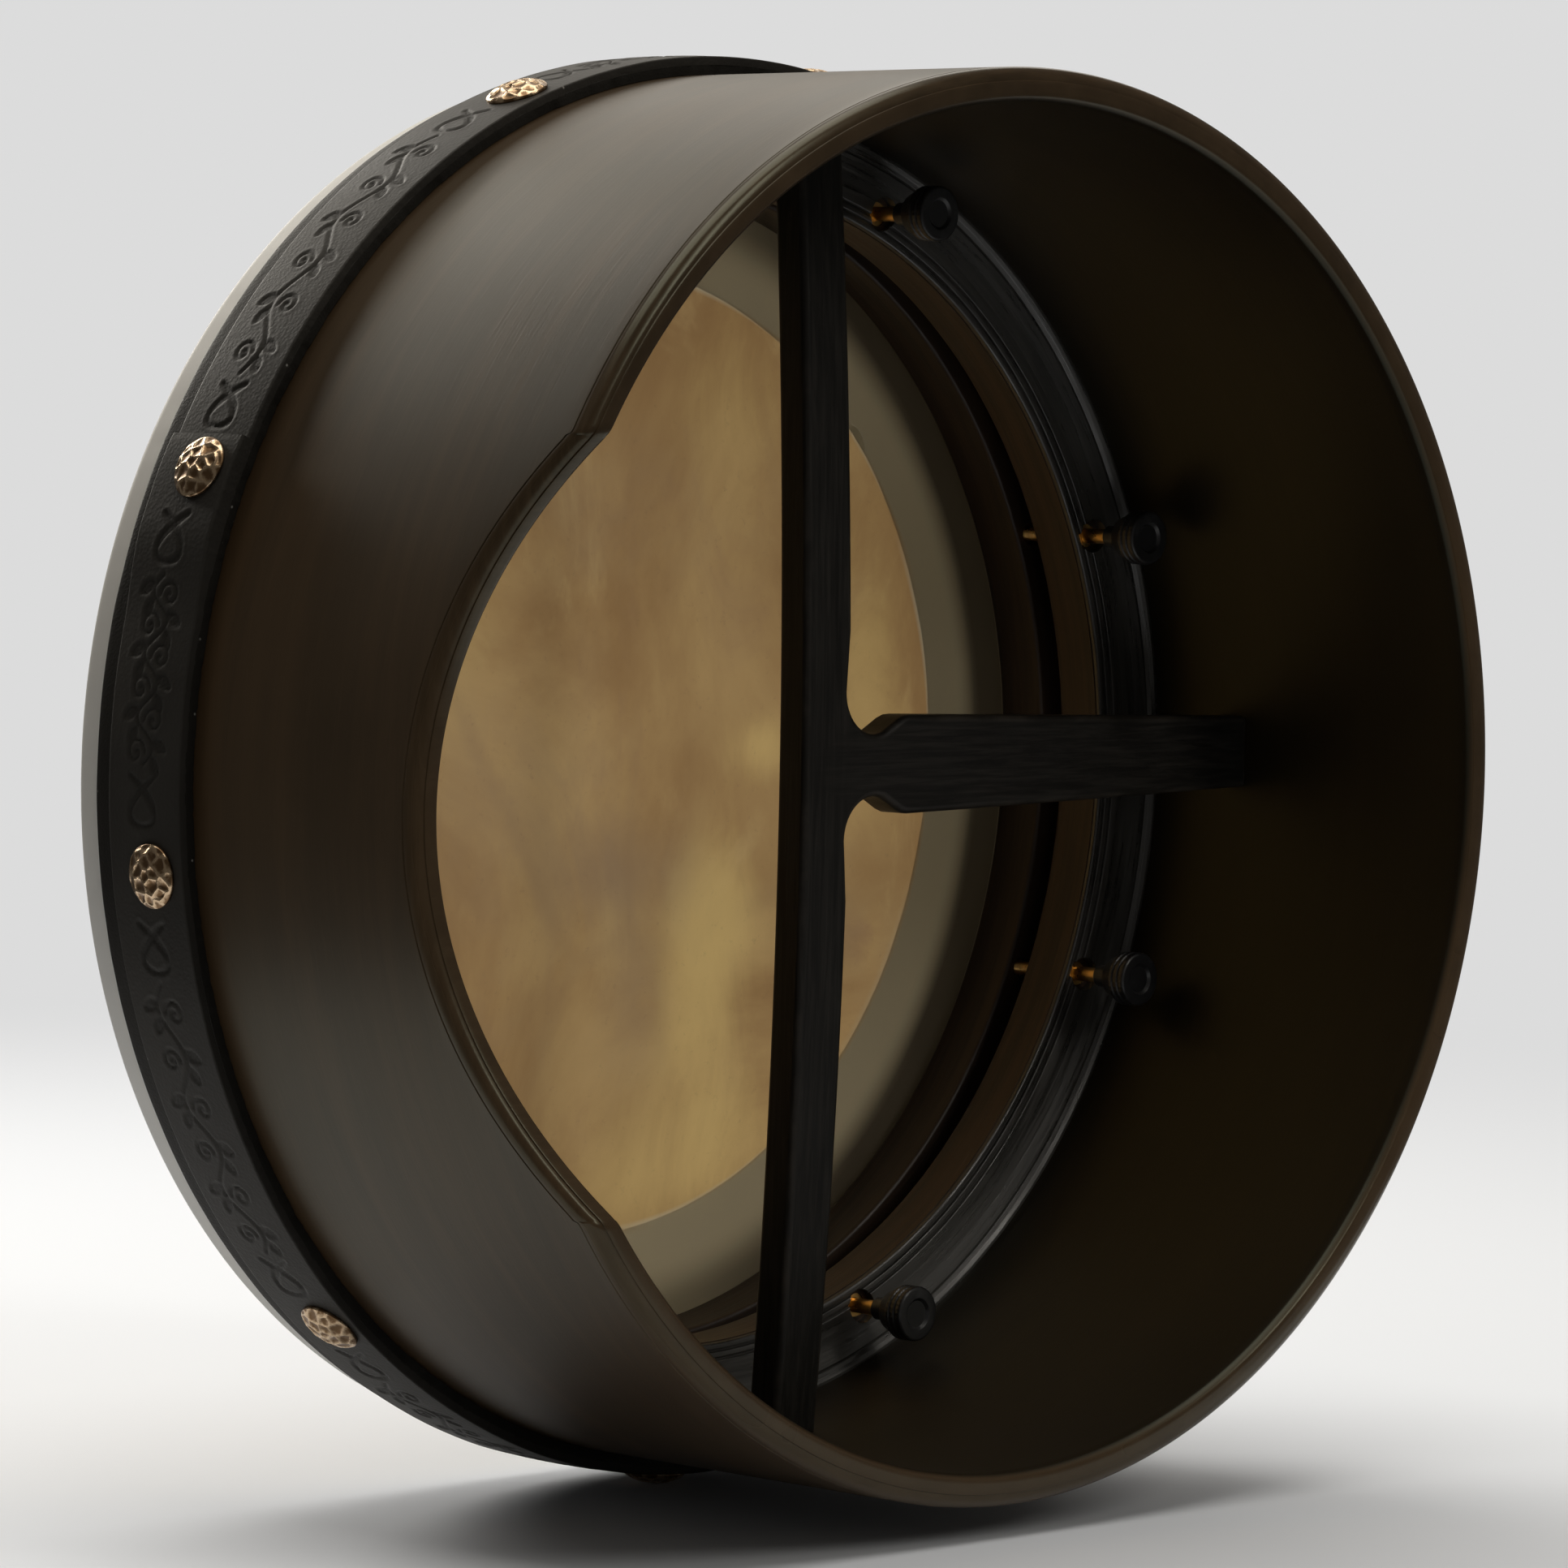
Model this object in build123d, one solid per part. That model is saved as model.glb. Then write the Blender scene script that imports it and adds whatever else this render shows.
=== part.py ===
from build123d import *
import os
from math import cos, radians, sin

# A hand drum (bodhran) standing upright on its shell, in millimetres.
# The drum's axis lies along Y: the skin faces -Y and the open back faces +Y.
# +Z is up, the crossbar's arm reaches to -X and the shell's hand cutaway is centred near +X.
# The origin is on the drum's axis, at half the shell's depth, where the crossbar is gripped.
# "Depth" below is always measured forwards from the plane of the back rim.

# ---- shell
shell_radius = 178.0
shell_wall = 8.5
shell_depth = 154.0
rim_outer_round = 3.0
rim_inner_bevel = 1.5
front_edge_round = 3.5
front_inner_bevel = 2.0

cutaway_reach = 31.5
cutaway_radius = 150.0
cutaway_centre_z = -5.5

# ---- crossbar: an upright and a side arm, bowed back at the middle
bar_width = 15.5
bar_thickness = 10.5
bar_bow = 6.8
bar_edge_round = 1.6
bar_kink_half_width = 9.0
bar_kink_offset = 34.0
grip_fillet = 11.0
arm_centre_z = 2.15
neck_half_height = 8.0
arm_shoulder_x = -30.5
arm_shoulder_half_height = 12.7
arm_wall_half_height = 9.6
arm_lead_in = (3.5, 0.9)  # where the neck's curve ends, short of the shoulder and inside it
dowel_radius = 3.0
dowel_in_bar = 14.0
dowel_in_shell = 5.0
neck_dowel_radius = 2.5
neck_dowel_half_length = 9.0
dowel_hole_spare = 0.5

# ---- inner rings
ring_inner_radius = 150.0
anchor_back_depth = 116.0
anchor_front_depth = 129.5
anchor_front_round = 1.2
# The cap's moulding, as (radius, height above the ring): bead, quirk, bead, broad face, quirk, raised edge.
cap_moulding = [
    (150.3, 1.1), (151.0, 1.7), (152.4, 1.7), (152.7, 1.3), (154.0, 2.0), (154.6, 1.7),
    (154.9, 2.2), (166.4, 4.2), (166.8, 3.6), (167.6, 5.6),
]
cap_height_at_wall = 5.9
hoop_inner_radius = 151.0
hoop_outer_radius = 167.0
hoop_back_depth = 137.0
hoop_proud = 0.6
hoop_apex_radii = (156.0, 161.5)
hoop_drop_inside = 2.6
hoop_drop_outside = 3.5
hoop_rounds = (1.0, 1.5, 3.0, 2.0)  # back inside, front inside, and the apex's two edges

# ---- tuners
tuner_count = 8
first_tuner_angle = 22.5
tuner_circle_radius = 156.5
screw_radius = 2.0
knob_back_depth = 93.0
knob_flange_depth = 98.6
knob_cone_depth = 103.4
knob_neck_depth = 107.8
knob_neck_radius = 3.0
knob_shoulder_radius = 5.2
knob_shoulder_rise = 0.9
knob_flange_radius = 7.3
knob_groove_depth = 0.45
knob_groove_centres = (1.7, 3.5)  # back from the flange's front
knob_groove_half_width = 0.25
knob_groove_slope = 0.3
knob_face_radius = 4.2
knob_face_dish = 0.7
screw_in_knob = 1.0
insert_radius = 3.2
insert_recess = 0.5
insert_end_wall = 1.0
counterbore_radius = 4.5
disc_radius = 3.0
disc_thickness = 1.2
disc_socket_depth = 2.0

# ---- skin and its damping tape
skin_thickness = 0.8
skin_lift = 0.2
skin_corner_round = 3.7
skin_end_depth = 113.0
tape_inner_radius = 127.5
tape_outer_radius = 155.0
tape_thickness = 0.3

# ---- outer bands and nails
band_back_depth = 110.0
band_front_depth = 143.5
band_thickness = 1.95
band_split_angle = 193.5
band_split_width = 0.6
band_step = 0.3
strap_front_depth = 136.5
strap_thickness = 2.3
lap_end_angle = 152.8
lap_flat_angle = 160.0
lap_taper_angle = 168.0
lap_rise = 2.2
lap_sunk = 0.5
lap_inset = 0.3
nail_angles = [33.0, 77.0, 111.2, 155.7, 187.0, 228.0, 267.0, 308.5, 350.5]
lapped_nail_angle = 155.7
nail_depth = 120.5
nail_head_radius = 8.0
nail_head_height = 3.2
nail_rim_height = 0.4
nail_shank_radius = 1.1
nail_tip_radius = 172.0

# ---- clearances
slip = 0.05
contact_gap = 0.1

# ---- worked out from the above
shell_inner_radius = shell_radius - shell_wall
back_y = shell_depth / 2
front_y = -shell_depth / 2
bow_radius = (shell_inner_radius**2 + bar_bow**2) / (2 * bar_bow)
hoop_front_y = front_y - hoop_proud
skin_inner_y = hoop_front_y - skin_lift
skin_outer_y = skin_inner_y - skin_thickness
skin_inner_radius = shell_radius + slip
skin_outer_radius = skin_inner_radius + skin_thickness
band_inner_radius = skin_outer_radius + slip
band_outer_radius = band_inner_radius + band_thickness
strap_inner_radius = band_outer_radius + slip
strap_outer_radius = strap_inner_radius + strap_thickness
tuner_angles = [first_tuner_angle + 360 / tuner_count * i for i in range(tuner_count)]


def at_depth(depth):
    """The y of a plane at a depth forwards from the back rim."""
    return back_y - depth


def around(angle, radius, y=0.0):
    """A point at an angle from the arm's side (-X) towards the top (+Z)."""
    return (-radius * cos(radians(angle)), y, radius * sin(radians(angle)))


def outward(angle):
    """The turn that carries +X to the radial direction at an angle."""
    return Rot(0, 180 + angle, 0)


def turned(points, rounds=()):
    """A solid turned about the drum's axis from (radius, y) points, with rounded corners."""
    profile = make_face(Polyline(*points, close=True))
    for corner, radius in rounds:
        vertex = profile.vertices().sort_by_distance((corner[0], corner[1], 0))[0]
        profile = fillet(vertex, radius)
    return revolve(profile, axis=Axis.Y)


def rod(radius, y_from, y_to, centre=(0, 0)):
    """A round rod along Y between two planes, at (x, z)."""
    middle = (y_from + y_to) / 2
    return Pos(centre[0], middle, centre[1]) * Rot(90, 0, 0) * Cylinder(radius, abs(y_to - y_from))


def radial_rod(radius, angle, from_radius, to_radius, y):
    """A round rod along the radius at an angle."""
    x, _, z = around(angle, (from_radius + to_radius) / 2)
    return Pos(x, y, z) * outward(angle) * Rot(0, 90, 0) * Cylinder(radius, abs(to_radius - from_radius))


def bow_y(distance):
    """The y of the crossbar's middle plane at a distance from the drum's axis."""
    return (bow_radius**2 - distance**2) ** 0.5 - bow_radius


# ---- crossbar outlines, in the XZ plane
def upright_outline():
    half = bar_width / 2
    reach = shell_inner_radius + dowel_in_shell
    neck_x = -half - grip_fillet
    kink_x = -bar_kink_half_width
    edges = [Line((half, -reach), (half, reach)), Line((half, reach), (-half, reach))]
    top_kink = (kink_x, arm_centre_z + bar_kink_offset)
    top_waist = (-half, arm_centre_z + neck_half_height + grip_fillet)
    top_neck = (neck_x, arm_centre_z + neck_half_height)
    low_kink = (kink_x, arm_centre_z - bar_kink_offset)
    low_waist = (-half, arm_centre_z - neck_half_height - grip_fillet)
    low_neck = (neck_x, arm_centre_z - neck_half_height)
    edges += [
        Line((-half, reach), top_kink),
        Line(top_kink, top_waist),
        RadiusArc(top_waist, top_neck, -grip_fillet),
        Line(top_neck, low_neck),
        RadiusArc(low_neck, low_waist, -grip_fillet),
        Line(low_waist, low_kink),
        Line(low_kink, (-half, -reach)),
        Line((-half, -reach), (half, -reach)),
    ]
    return make_face(edges)


def arm_outline():
    neck_x = -bar_width / 2 - grip_fillet
    reach = -shell_inner_radius - dowel_in_shell
    shoulder = arm_shoulder_half_height
    short, inside = arm_lead_in
    edges = []
    for side in (1, -1):
        neck = (neck_x, arm_centre_z + side * neck_half_height)
        corner = (arm_shoulder_x, arm_centre_z + side * shoulder)
        lead_in = (arm_shoulder_x + short, arm_centre_z + side * (shoulder - inside))
        end = (reach, arm_centre_z + side * arm_wall_half_height)
        edges += [Spline(neck, lead_in, tangents=[(-1, 0), (-1, side * 0.5)])]
        edges += [Line(lead_in, corner), Line(corner, end)]
    top_end = (reach, arm_centre_z + arm_wall_half_height)
    low_end = (reach, arm_centre_z - arm_wall_half_height)
    top_neck = (neck_x, arm_centre_z + neck_half_height)
    low_neck = (neck_x, arm_centre_z - neck_half_height)
    return make_face(edges + [Line(top_end, low_end), Line(low_neck, top_neck)])


def bowed_slab(along):
    """A slab of the bar's thickness, bent about a line across the bar's length."""
    width = 4 * bar_width
    outer = Cylinder(bow_radius + bar_thickness / 2, width)
    inner = Cylinder(bow_radius - bar_thickness / 2, width)
    slab = outer - inner
    if along == "Z":
        return Pos(0, -bow_radius, 0) * Rot(0, 90, 0) * slab
    return Pos(0, -bow_radius, arm_centre_z) * slab


def bar(outline, along):
    """A flat outline cut through a bowed slab, its ends fitted to the shell's inner wall."""
    blank = extrude(Plane.XZ * outline, bar_thickness + 2 * bar_bow, both=True)
    return (blank & bowed_slab(along)) & rod(shell_inner_radius - slip, back_y, front_y)


def long_edges(solid):
    """The edges that run along a bar, leaving out those round its fitted ends and its joint."""
    neck_x = -bar_width / 2 - grip_fillet
    fitted_end = shell_inner_radius - bar_width / 4
    near = 0.01

    def kept(edge):
        box = edge.bounding_box()
        far = max(abs(box.min.X), abs(box.max.X), abs(box.min.Z), abs(box.max.Z))
        at_joint = abs(box.min.X - neck_x) < near and abs(box.max.X - neck_x) < near
        through = box.size.Y > 0.9 * bar_thickness
        return not at_joint and not through and (far < fitted_end or edge.length > 2 * bar_width)

    return [edge for edge in solid.edges() if kept(edge)]


def dowels(radius_extra=0.0, length_extra=0.0):
    """Three dowels from the shell into the bar's ends, and one across the neck."""
    end_y = bow_y(shell_inner_radius)
    pegs = []
    for angle in (90, 270, 0):
        offset = arm_centre_z if angle == 0 else 0
        peg = radial_rod(dowel_radius + radius_extra, angle,
                         shell_inner_radius - dowel_in_bar - length_extra,
                         shell_inner_radius + dowel_in_shell + length_extra, end_y)
        pegs.append(Pos(0, 0, offset) * peg)
    neck_x = -bar_width / 2 - grip_fillet
    half_length = neck_dowel_half_length + length_extra
    peg = Rot(0, 90, 0) * Cylinder(neck_dowel_radius + radius_extra, 2 * half_length)
    pegs.append(Pos(neck_x, bow_y(neck_x), arm_centre_z) * peg)
    return pegs


def make_crossbar():
    holes = dowels(slip, dowel_hole_spare)
    upright = bar(upright_outline(), "Z")
    arm = bar(arm_outline(), "X")
    upright = fillet(long_edges(upright), bar_edge_round)
    arm = fillet(long_edges(arm), bar_edge_round)
    return upright - holes, arm - holes


# ---- shell
def make_shell():
    inner, outer = shell_inner_radius, shell_radius
    points = [
        (inner, back_y - rim_inner_bevel), (inner + rim_inner_bevel, back_y), (outer, back_y),
        (outer, front_y), (inner + front_inner_bevel, front_y), (inner, front_y + front_inner_bevel),
    ]
    rounds = [((outer, back_y), rim_outer_round), ((outer, front_y), front_edge_round)]
    shell = turned(points, rounds)
    centre_y = back_y - cutaway_reach + cutaway_radius
    cutter = Rot(0, 90, 0) * Cylinder(cutaway_radius, shell_inner_radius)
    cutter = Pos(shell_inner_radius, centre_y, cutaway_centre_z) * cutter
    return shell - cutter - dowels(slip, dowel_hole_spare)[:3]


# ---- inner rings
def at_tuners(make):
    """One copy of a piece at each tuner."""
    return [make(*[around(angle, tuner_circle_radius)[i] for i in (0, 2)]) for angle in tuner_angles]


def make_anchor_ring():
    back, front = at_depth(anchor_back_depth), at_depth(anchor_front_depth)
    inner, outer = ring_inner_radius, shell_inner_radius - slip
    ring = turned([(inner, back), (outer, back), (outer, front), (inner, front)],
                  [((inner, front), anchor_front_round)])
    holes = at_tuners(lambda x, z: rod(insert_radius, back, front, (x, z)))
    return ring - holes


def make_threaded_inserts():
    back = at_depth(anchor_back_depth) - insert_recess
    front = at_depth(anchor_front_depth) + insert_recess

    def insert(x, z):
        body = rod(insert_radius, back, front, (x, z))
        return body - rod(screw_radius + slip, back + insert_end_wall, front - insert_end_wall, (x, z))

    return Compound(children=at_tuners(insert))


def make_anchor_cap():
    base, outer = at_depth(anchor_back_depth), shell_inner_radius - slip
    points = [(cap_moulding[0][0], base)]
    points += [(radius, base + height) for radius, height in cap_moulding]
    points += [(outer, base + cap_height_at_wall), (outer, base)]
    holes = at_tuners(lambda x, z: rod(counterbore_radius, base - 1, base + 2 * cap_height_at_wall, (x, z)))
    return turned(points) - holes


def make_tuning_hoop():
    back, front = at_depth(hoop_back_depth), hoop_front_y
    inner, outer = hoop_inner_radius, hoop_outer_radius
    apex_inner, apex_outer = hoop_apex_radii
    front_inner = (inner, front + hoop_drop_inside)
    points = [
        (inner, back), (outer, back), (outer, front + hoop_drop_outside), (apex_outer, front),
        (apex_inner, front), front_inner,
    ]
    corners = [(inner, back), front_inner, (apex_inner, front), (apex_outer, front)]
    hoop = turned(points, zip(corners, hoop_rounds))
    bottom = back - disc_socket_depth - disc_thickness
    return hoop - at_tuners(lambda x, z: rod(disc_radius, back + 1, bottom, (x, z)))


def make_pressure_discs():
    top = at_depth(hoop_back_depth) - disc_socket_depth
    return Compound(children=at_tuners(lambda x, z: rod(disc_radius, top, top - disc_thickness, (x, z))))


# ---- tuners
def make_screw(x, z):
    tip = at_depth(hoop_back_depth) - disc_socket_depth + contact_gap
    head = at_depth(knob_flange_depth) - screw_in_knob
    bevel = 0.3 * screw_radius
    points = [
        (0, tip), (screw_radius - bevel, tip), (screw_radius, tip + bevel), (screw_radius, head), (0, head),
    ]
    return Pos(x, 0, z) * turned(points)


def make_knob(x, z):
    back, flange = at_depth(knob_back_depth), at_depth(knob_flange_depth)
    cone, neck = at_depth(knob_cone_depth), at_depth(knob_neck_depth)
    socket_end = flange - screw_in_knob
    bore, wide = screw_radius + slip, knob_flange_radius
    sunk = wide - knob_groove_depth
    half, slope = knob_groove_half_width, knob_groove_slope
    points = [
        (0, socket_end), (bore, socket_end), (bore, neck), (knob_neck_radius, neck),
        (knob_neck_radius, cone), (knob_shoulder_radius, cone + knob_shoulder_rise),
        (wide - 0.4, flange), (wide, flange + 0.4),
    ]
    for centre in knob_groove_centres:
        y = flange + centre
        points += [(wide, y - half - slope), (sunk, y - half), (sunk, y + half), (wide, y + half + slope)]
    points += [
        (wide, back - 0.9), (wide - 0.9, back), (knob_face_radius, back),
        (knob_face_radius - 0.8, back - knob_face_dish), (0, back - knob_face_dish),
    ]
    return Pos(x, 0, z) * turned(points)


# ---- skin and tape
def make_skin():
    end = at_depth(skin_end_depth)
    points = [
        (0, skin_outer_y), (skin_outer_radius, skin_outer_y), (skin_outer_radius, end),
        (skin_inner_radius, end), (skin_inner_radius, skin_inner_y), (0, skin_inner_y),
    ]
    rounds = [((skin_outer_radius, skin_outer_y), skin_corner_round + skin_thickness),
              ((skin_inner_radius, skin_inner_y), skin_corner_round)]
    return turned(points, rounds)


def make_damping_tape():
    outer, inner = tape_outer_radius, tape_inner_radius
    back, front = skin_outer_y, skin_outer_y - tape_thickness
    return turned([(inner, back), (outer, back), (outer, front), (inner, front)])


# ---- outer bands and nails
def make_base_band():
    back, front = at_depth(band_back_depth), at_depth(band_front_depth)
    step = at_depth(skin_end_depth) + band_step
    outer = band_outer_radius
    points = [
        (shell_radius + slip, back), (outer, back), (outer, front), (band_inner_radius, front),
        (band_inner_radius, step), (shell_radius + slip, step),
    ]
    ring = turned(points, [((outer, front), 0.7)])
    split = Pos(*around(band_split_angle, shell_radius, (back + front) / 2)) * outward(band_split_angle)
    return ring - split * Box(4 * shell_wall, 2 * (back - front), band_split_width)


def make_leather_strap():
    back, front = at_depth(band_back_depth), at_depth(strap_front_depth)
    inner, outer = strap_inner_radius, strap_outer_radius
    ring = turned([(inner, back), (outer, back), (outer, front), (inner, front)],
                  [((outer, front), 0.8), ((outer, back), 0.5)])
    raised, sunk = outer + lap_rise, outer - lap_sunk

    def spot(angle, radius):
        x, _, z = around(angle, radius)
        return (x, z)

    start, flat = spot(lap_end_angle, raised), spot(lap_flat_angle, raised)
    middle_angle = (lap_end_angle + lap_flat_angle) / 2
    outline = [
        ThreePointArc(start, spot(middle_angle, raised), flat),
        Line(flat, spot(lap_taper_angle, outer - slip)),
        Line(spot(lap_taper_angle, outer - slip), spot(lap_taper_angle, sunk)),
        ThreePointArc(spot(lap_taper_angle, sunk), spot(lap_flat_angle, sunk), spot(lap_end_angle, sunk)),
        Line(spot(lap_end_angle, sunk), start),
    ]
    plane = Plane((0, back - lap_inset, 0), x_dir=(1, 0, 0), z_dir=(0, -1, 0))
    return ring + extrude(plane * make_face(outline), back - front - 2 * lap_inset)


def make_nail(angle):
    seat = strap_outer_radius + (lap_rise if angle == lapped_nail_angle else 0)
    wide, tall = nail_head_radius, nail_head_height
    crown = seat + tall
    rim, under = seat + nail_rim_height, seat - 0.5
    dome_radius = (wide**2 + (crown - rim) ** 2) / (2 * (crown - rim))
    profile = make_face([
        RadiusArc((rim, wide), (crown, 0), dome_radius),
        Line((crown, 0), (under, 0)), Line((under, 0), (under, wide)), Line((under, wide), (rim, wide)),
    ])
    head = Pos(0, at_depth(nail_depth), 0) * outward(angle) * revolve(profile, axis=Axis.X)
    head = head - rod(seat + slip / 2, 0, front_y)
    shank = radial_rod(nail_shank_radius, angle, nail_tip_radius, seat + 1, at_depth(nail_depth))
    return head + shank


def make_nails():
    return Compound(children=[make_nail(angle) for angle in nail_angles])


def main():
    os.makedirs("parts", exist_ok=True)
    upright, arm = make_crossbar()
    nodes = {
        "shell": make_shell(),
        "crossbar_upright": upright,
        "crossbar_arm": arm,
        "crossbar_dowels": Compound(children=dowels()),
        "anchor_ring": make_anchor_ring(),
        "anchor_cap": make_anchor_cap(),
        "threaded_inserts": make_threaded_inserts(),
        "tuning_hoop": make_tuning_hoop(),
        "pressure_discs": make_pressure_discs(),
        "skin": make_skin(),
        "damping_tape": make_damping_tape(),
        "base_band": make_base_band(),
        "leather_strap": make_leather_strap(),
        "nails": make_nails(),
    }
    for number, angle in enumerate(tuner_angles, start=1):
        x, _, z = around(angle, tuner_circle_radius)
        nodes[f"tuner_screw_{number}"] = make_screw(x, z)
        nodes[f"tuner_knob_{number}"] = make_knob(x, z)
    for name, solid in nodes.items():
        export_step(solid, f"parts/{name}.step")


main()
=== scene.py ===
import math

import bmesh
import bpy
import numpy as np
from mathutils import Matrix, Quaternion, Vector
from mathutils.geometry import delaunay_2d_cdt


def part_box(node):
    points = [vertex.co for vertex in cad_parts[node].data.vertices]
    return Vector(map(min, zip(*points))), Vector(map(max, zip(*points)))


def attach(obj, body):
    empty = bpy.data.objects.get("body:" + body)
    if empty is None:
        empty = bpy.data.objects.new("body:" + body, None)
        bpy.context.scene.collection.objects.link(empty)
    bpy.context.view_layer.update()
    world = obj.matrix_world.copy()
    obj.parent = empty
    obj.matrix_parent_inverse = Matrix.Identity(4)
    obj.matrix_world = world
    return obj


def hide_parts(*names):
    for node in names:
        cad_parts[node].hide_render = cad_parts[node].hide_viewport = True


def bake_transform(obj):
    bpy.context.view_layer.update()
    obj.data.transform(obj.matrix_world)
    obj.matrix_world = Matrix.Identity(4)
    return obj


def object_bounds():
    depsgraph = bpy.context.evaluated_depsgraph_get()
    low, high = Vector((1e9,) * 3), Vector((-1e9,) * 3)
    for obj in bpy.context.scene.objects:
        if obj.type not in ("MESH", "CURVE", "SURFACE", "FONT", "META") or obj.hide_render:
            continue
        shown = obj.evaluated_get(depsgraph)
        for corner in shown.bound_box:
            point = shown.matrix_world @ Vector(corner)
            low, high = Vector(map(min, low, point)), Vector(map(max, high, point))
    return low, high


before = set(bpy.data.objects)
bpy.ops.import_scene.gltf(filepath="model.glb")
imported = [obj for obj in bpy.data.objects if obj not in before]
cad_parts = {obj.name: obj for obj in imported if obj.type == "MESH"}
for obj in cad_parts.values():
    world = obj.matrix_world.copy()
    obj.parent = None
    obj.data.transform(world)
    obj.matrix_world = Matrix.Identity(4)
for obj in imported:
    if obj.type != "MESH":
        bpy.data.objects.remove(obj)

# A bodhran, in metres: the drum's axis lies along Y, the skin faces -Y, the open back faces +Y,
# +Z is up, the crossbar's arm reaches to -X and the hand cutaway is centred near +X.
# Profiles below are lists of (radius, y) in millimetres, turned about the drum's axis.
# "Angle" runs round the drum from the arm's side (-X) towards the top (+Z).

MM = 0.001
cad_box = [list(corner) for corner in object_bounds()]


def edges_of(node, axis):
    """The lowest and highest coordinate of a CAD node along an axis, in millimetres."""
    low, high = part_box(node)
    return low[axis] / MM, high[axis] / MM


# ---- sizes taken from the frame
SHELL_FRONT, SHELL_BACK = edges_of("shell", 1)
SHELL_RADIUS = round((edges_of("shell", 2)[1] - edges_of("shell", 2)[0]) / 2, 1)
SHELL_WALL = 8.5
SHELL_INNER = SHELL_RADIUS - SHELL_WALL
BAND_FRONT, BAND_BACK = edges_of("base_band", 1)
STRAP_FRONT, STRAP_BACK = edges_of("leather_strap", 1)
RING_FRONT, RING_BACK = edges_of("anchor_ring", 1)
HOOP_FRONT, HOOP_BACK = edges_of("tuning_hoop", 1)
KNOB_FRONT, KNOB_BACK = edges_of("tuner_knob_1", 1)
SCREW_TIP, SCREW_HEAD = edges_of("tuner_screw_1", 1)
NAIL_Y = sum(edges_of("nails", 1)) / 2

# ---- sizes that a box can't give
RING_RADIUS = 150.0
HOOP_INNER, HOOP_OUTER = 151.0, 167.0
TUNER_RADIUS = 156.5
TUNER_ANGLES = [22.5 + 45.0 * i for i in range(8)]
CUT_REACH, CUT_RADIUS, CUT_Z = 31.5, 150.0, -5.5
BAND_OUTER, STRAP_OUTER = 180.9, 183.1
LAP_END, LAP_FLAT, LAP_TAPER, LAP_RISE = 152.8, 160.0, 168.0, 2.0
NAIL_ANGLES = [33.0, 77.0, 111.2, 155.7, 187.0, 228.0, 267.0, 308.5, 350.5]
LAPPED_NAIL = NAIL_ANGLES[3]
NAIL_RADIUS, NAIL_HEIGHT = 8.0, 3.2
TAPE_INNER, TAPE_OUTER = 127.5, 155.0
BAR_BOW, BAR_WIDTH, BAR_THICKNESS = 6.8, 15.5, 10.5
ARM_Z = 2.15
MEMBRANE_Y = HOOP_FRONT - 0.2
WRAP_RADIUS, WRAP_END = SHELL_RADIUS + 0.7, BAND_FRONT + 28.0
THREAD_PITCH, THREAD_DEPTH, PLAIN_SHANK = 0.7, 0.32, 9.0

TAU = 2 * math.pi


# ---- mesh making
def round_point(angle, radius, y):
    """Points at angles in radians, radii and heights along the drum's axis, as one array."""
    angle, radius, y = np.broadcast_arrays(angle, radius, y)
    return np.stack([-radius * np.cos(angle), y, radius * np.sin(angle)], -1)


def round_angles(count):
    """One row of evenly spaced angles round the drum, in radians."""
    return np.linspace(0, TAU, count, endpoint=False)[None, :]


def swept(profile, angle):
    """A profile's radii and its y, each repeated for every angle."""
    return profile[:, :1] + 0 * angle, profile[:, 1:] + 0 * angle


def smooth(share):
    """A share from 0 to 1, eased at both ends."""
    return share * share * (3 - 2 * share)


def soften(points, radii, steps=6):
    """A polyline with some corners rounded: radii maps a corner's index to its radius."""
    points = [np.array(p, float) for p in points]
    out = []
    for i, corner in enumerate(points):
        radius = radii.get(i, 0)
        if not radius:
            out.append(corner)
            continue
        before, after = points[i - 1], points[(i + 1) % len(points)]
        one, two = before - corner, after - corner
        one, two = one / np.linalg.norm(one), two / np.linalg.norm(two)
        half = math.acos(np.clip(one @ two, -1, 1)) / 2
        cut = radius / math.tan(half)
        middle = corner + (one + two) / np.linalg.norm(one + two) * radius / math.sin(half)
        start, end = corner + one * cut - middle, corner + two * cut - middle
        turn = math.acos(np.clip(start @ end / radius**2, -1, 1))
        for k in range(steps + 1):
            a, b = math.sin((1 - k / steps) * turn), math.sin(k / steps * turn)
            out.append(middle + (a * start + b * end) / math.sin(turn))
    return out


def subdivided(profile, longest):
    """A closed profile with its long runs divided."""
    out = []
    for i, point in enumerate(profile):
        following = profile[(i + 1) % len(profile)]
        count = max(1, int(np.linalg.norm(np.subtract(following, point)) / longest + 0.5))
        out += [np.add(point, np.subtract(following, point) * k / count) for k in range(count)]
    return out


def linked(name, data):
    """A new object in the scene."""
    thing = bpy.data.objects.new(name, data)
    bpy.context.scene.collection.objects.link(thing)
    return thing


def build(name, points, faces, values=None, sharp=35, closed=True):
    """A mesh object from points in millimetres, with float attributes on its points."""
    mesh = bpy.data.meshes.new(name)
    mesh.from_pydata(np.asarray(points, float).reshape(-1, 3) * MM, [], faces, shade_flat=False)
    mesh.validate()
    for key, value in (values or {}).items():
        layer = mesh.attributes.new(key, "FLOAT", "POINT")
        layer.data.foreach_set("value", np.asarray(value, np.float32).ravel())
    if closed:
        face_outwards(mesh)
    mesh.set_sharp_from_angle(angle=math.radians(sharp))
    return linked(name, mesh)


def face_outwards(mesh):
    """Turns every face of a closed mesh outwards."""
    work = bmesh.new()
    work.from_mesh(mesh)
    bmesh.ops.recalc_face_normals(work, faces=work.faces)
    work.to_mesh(mesh)
    work.free()


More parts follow.
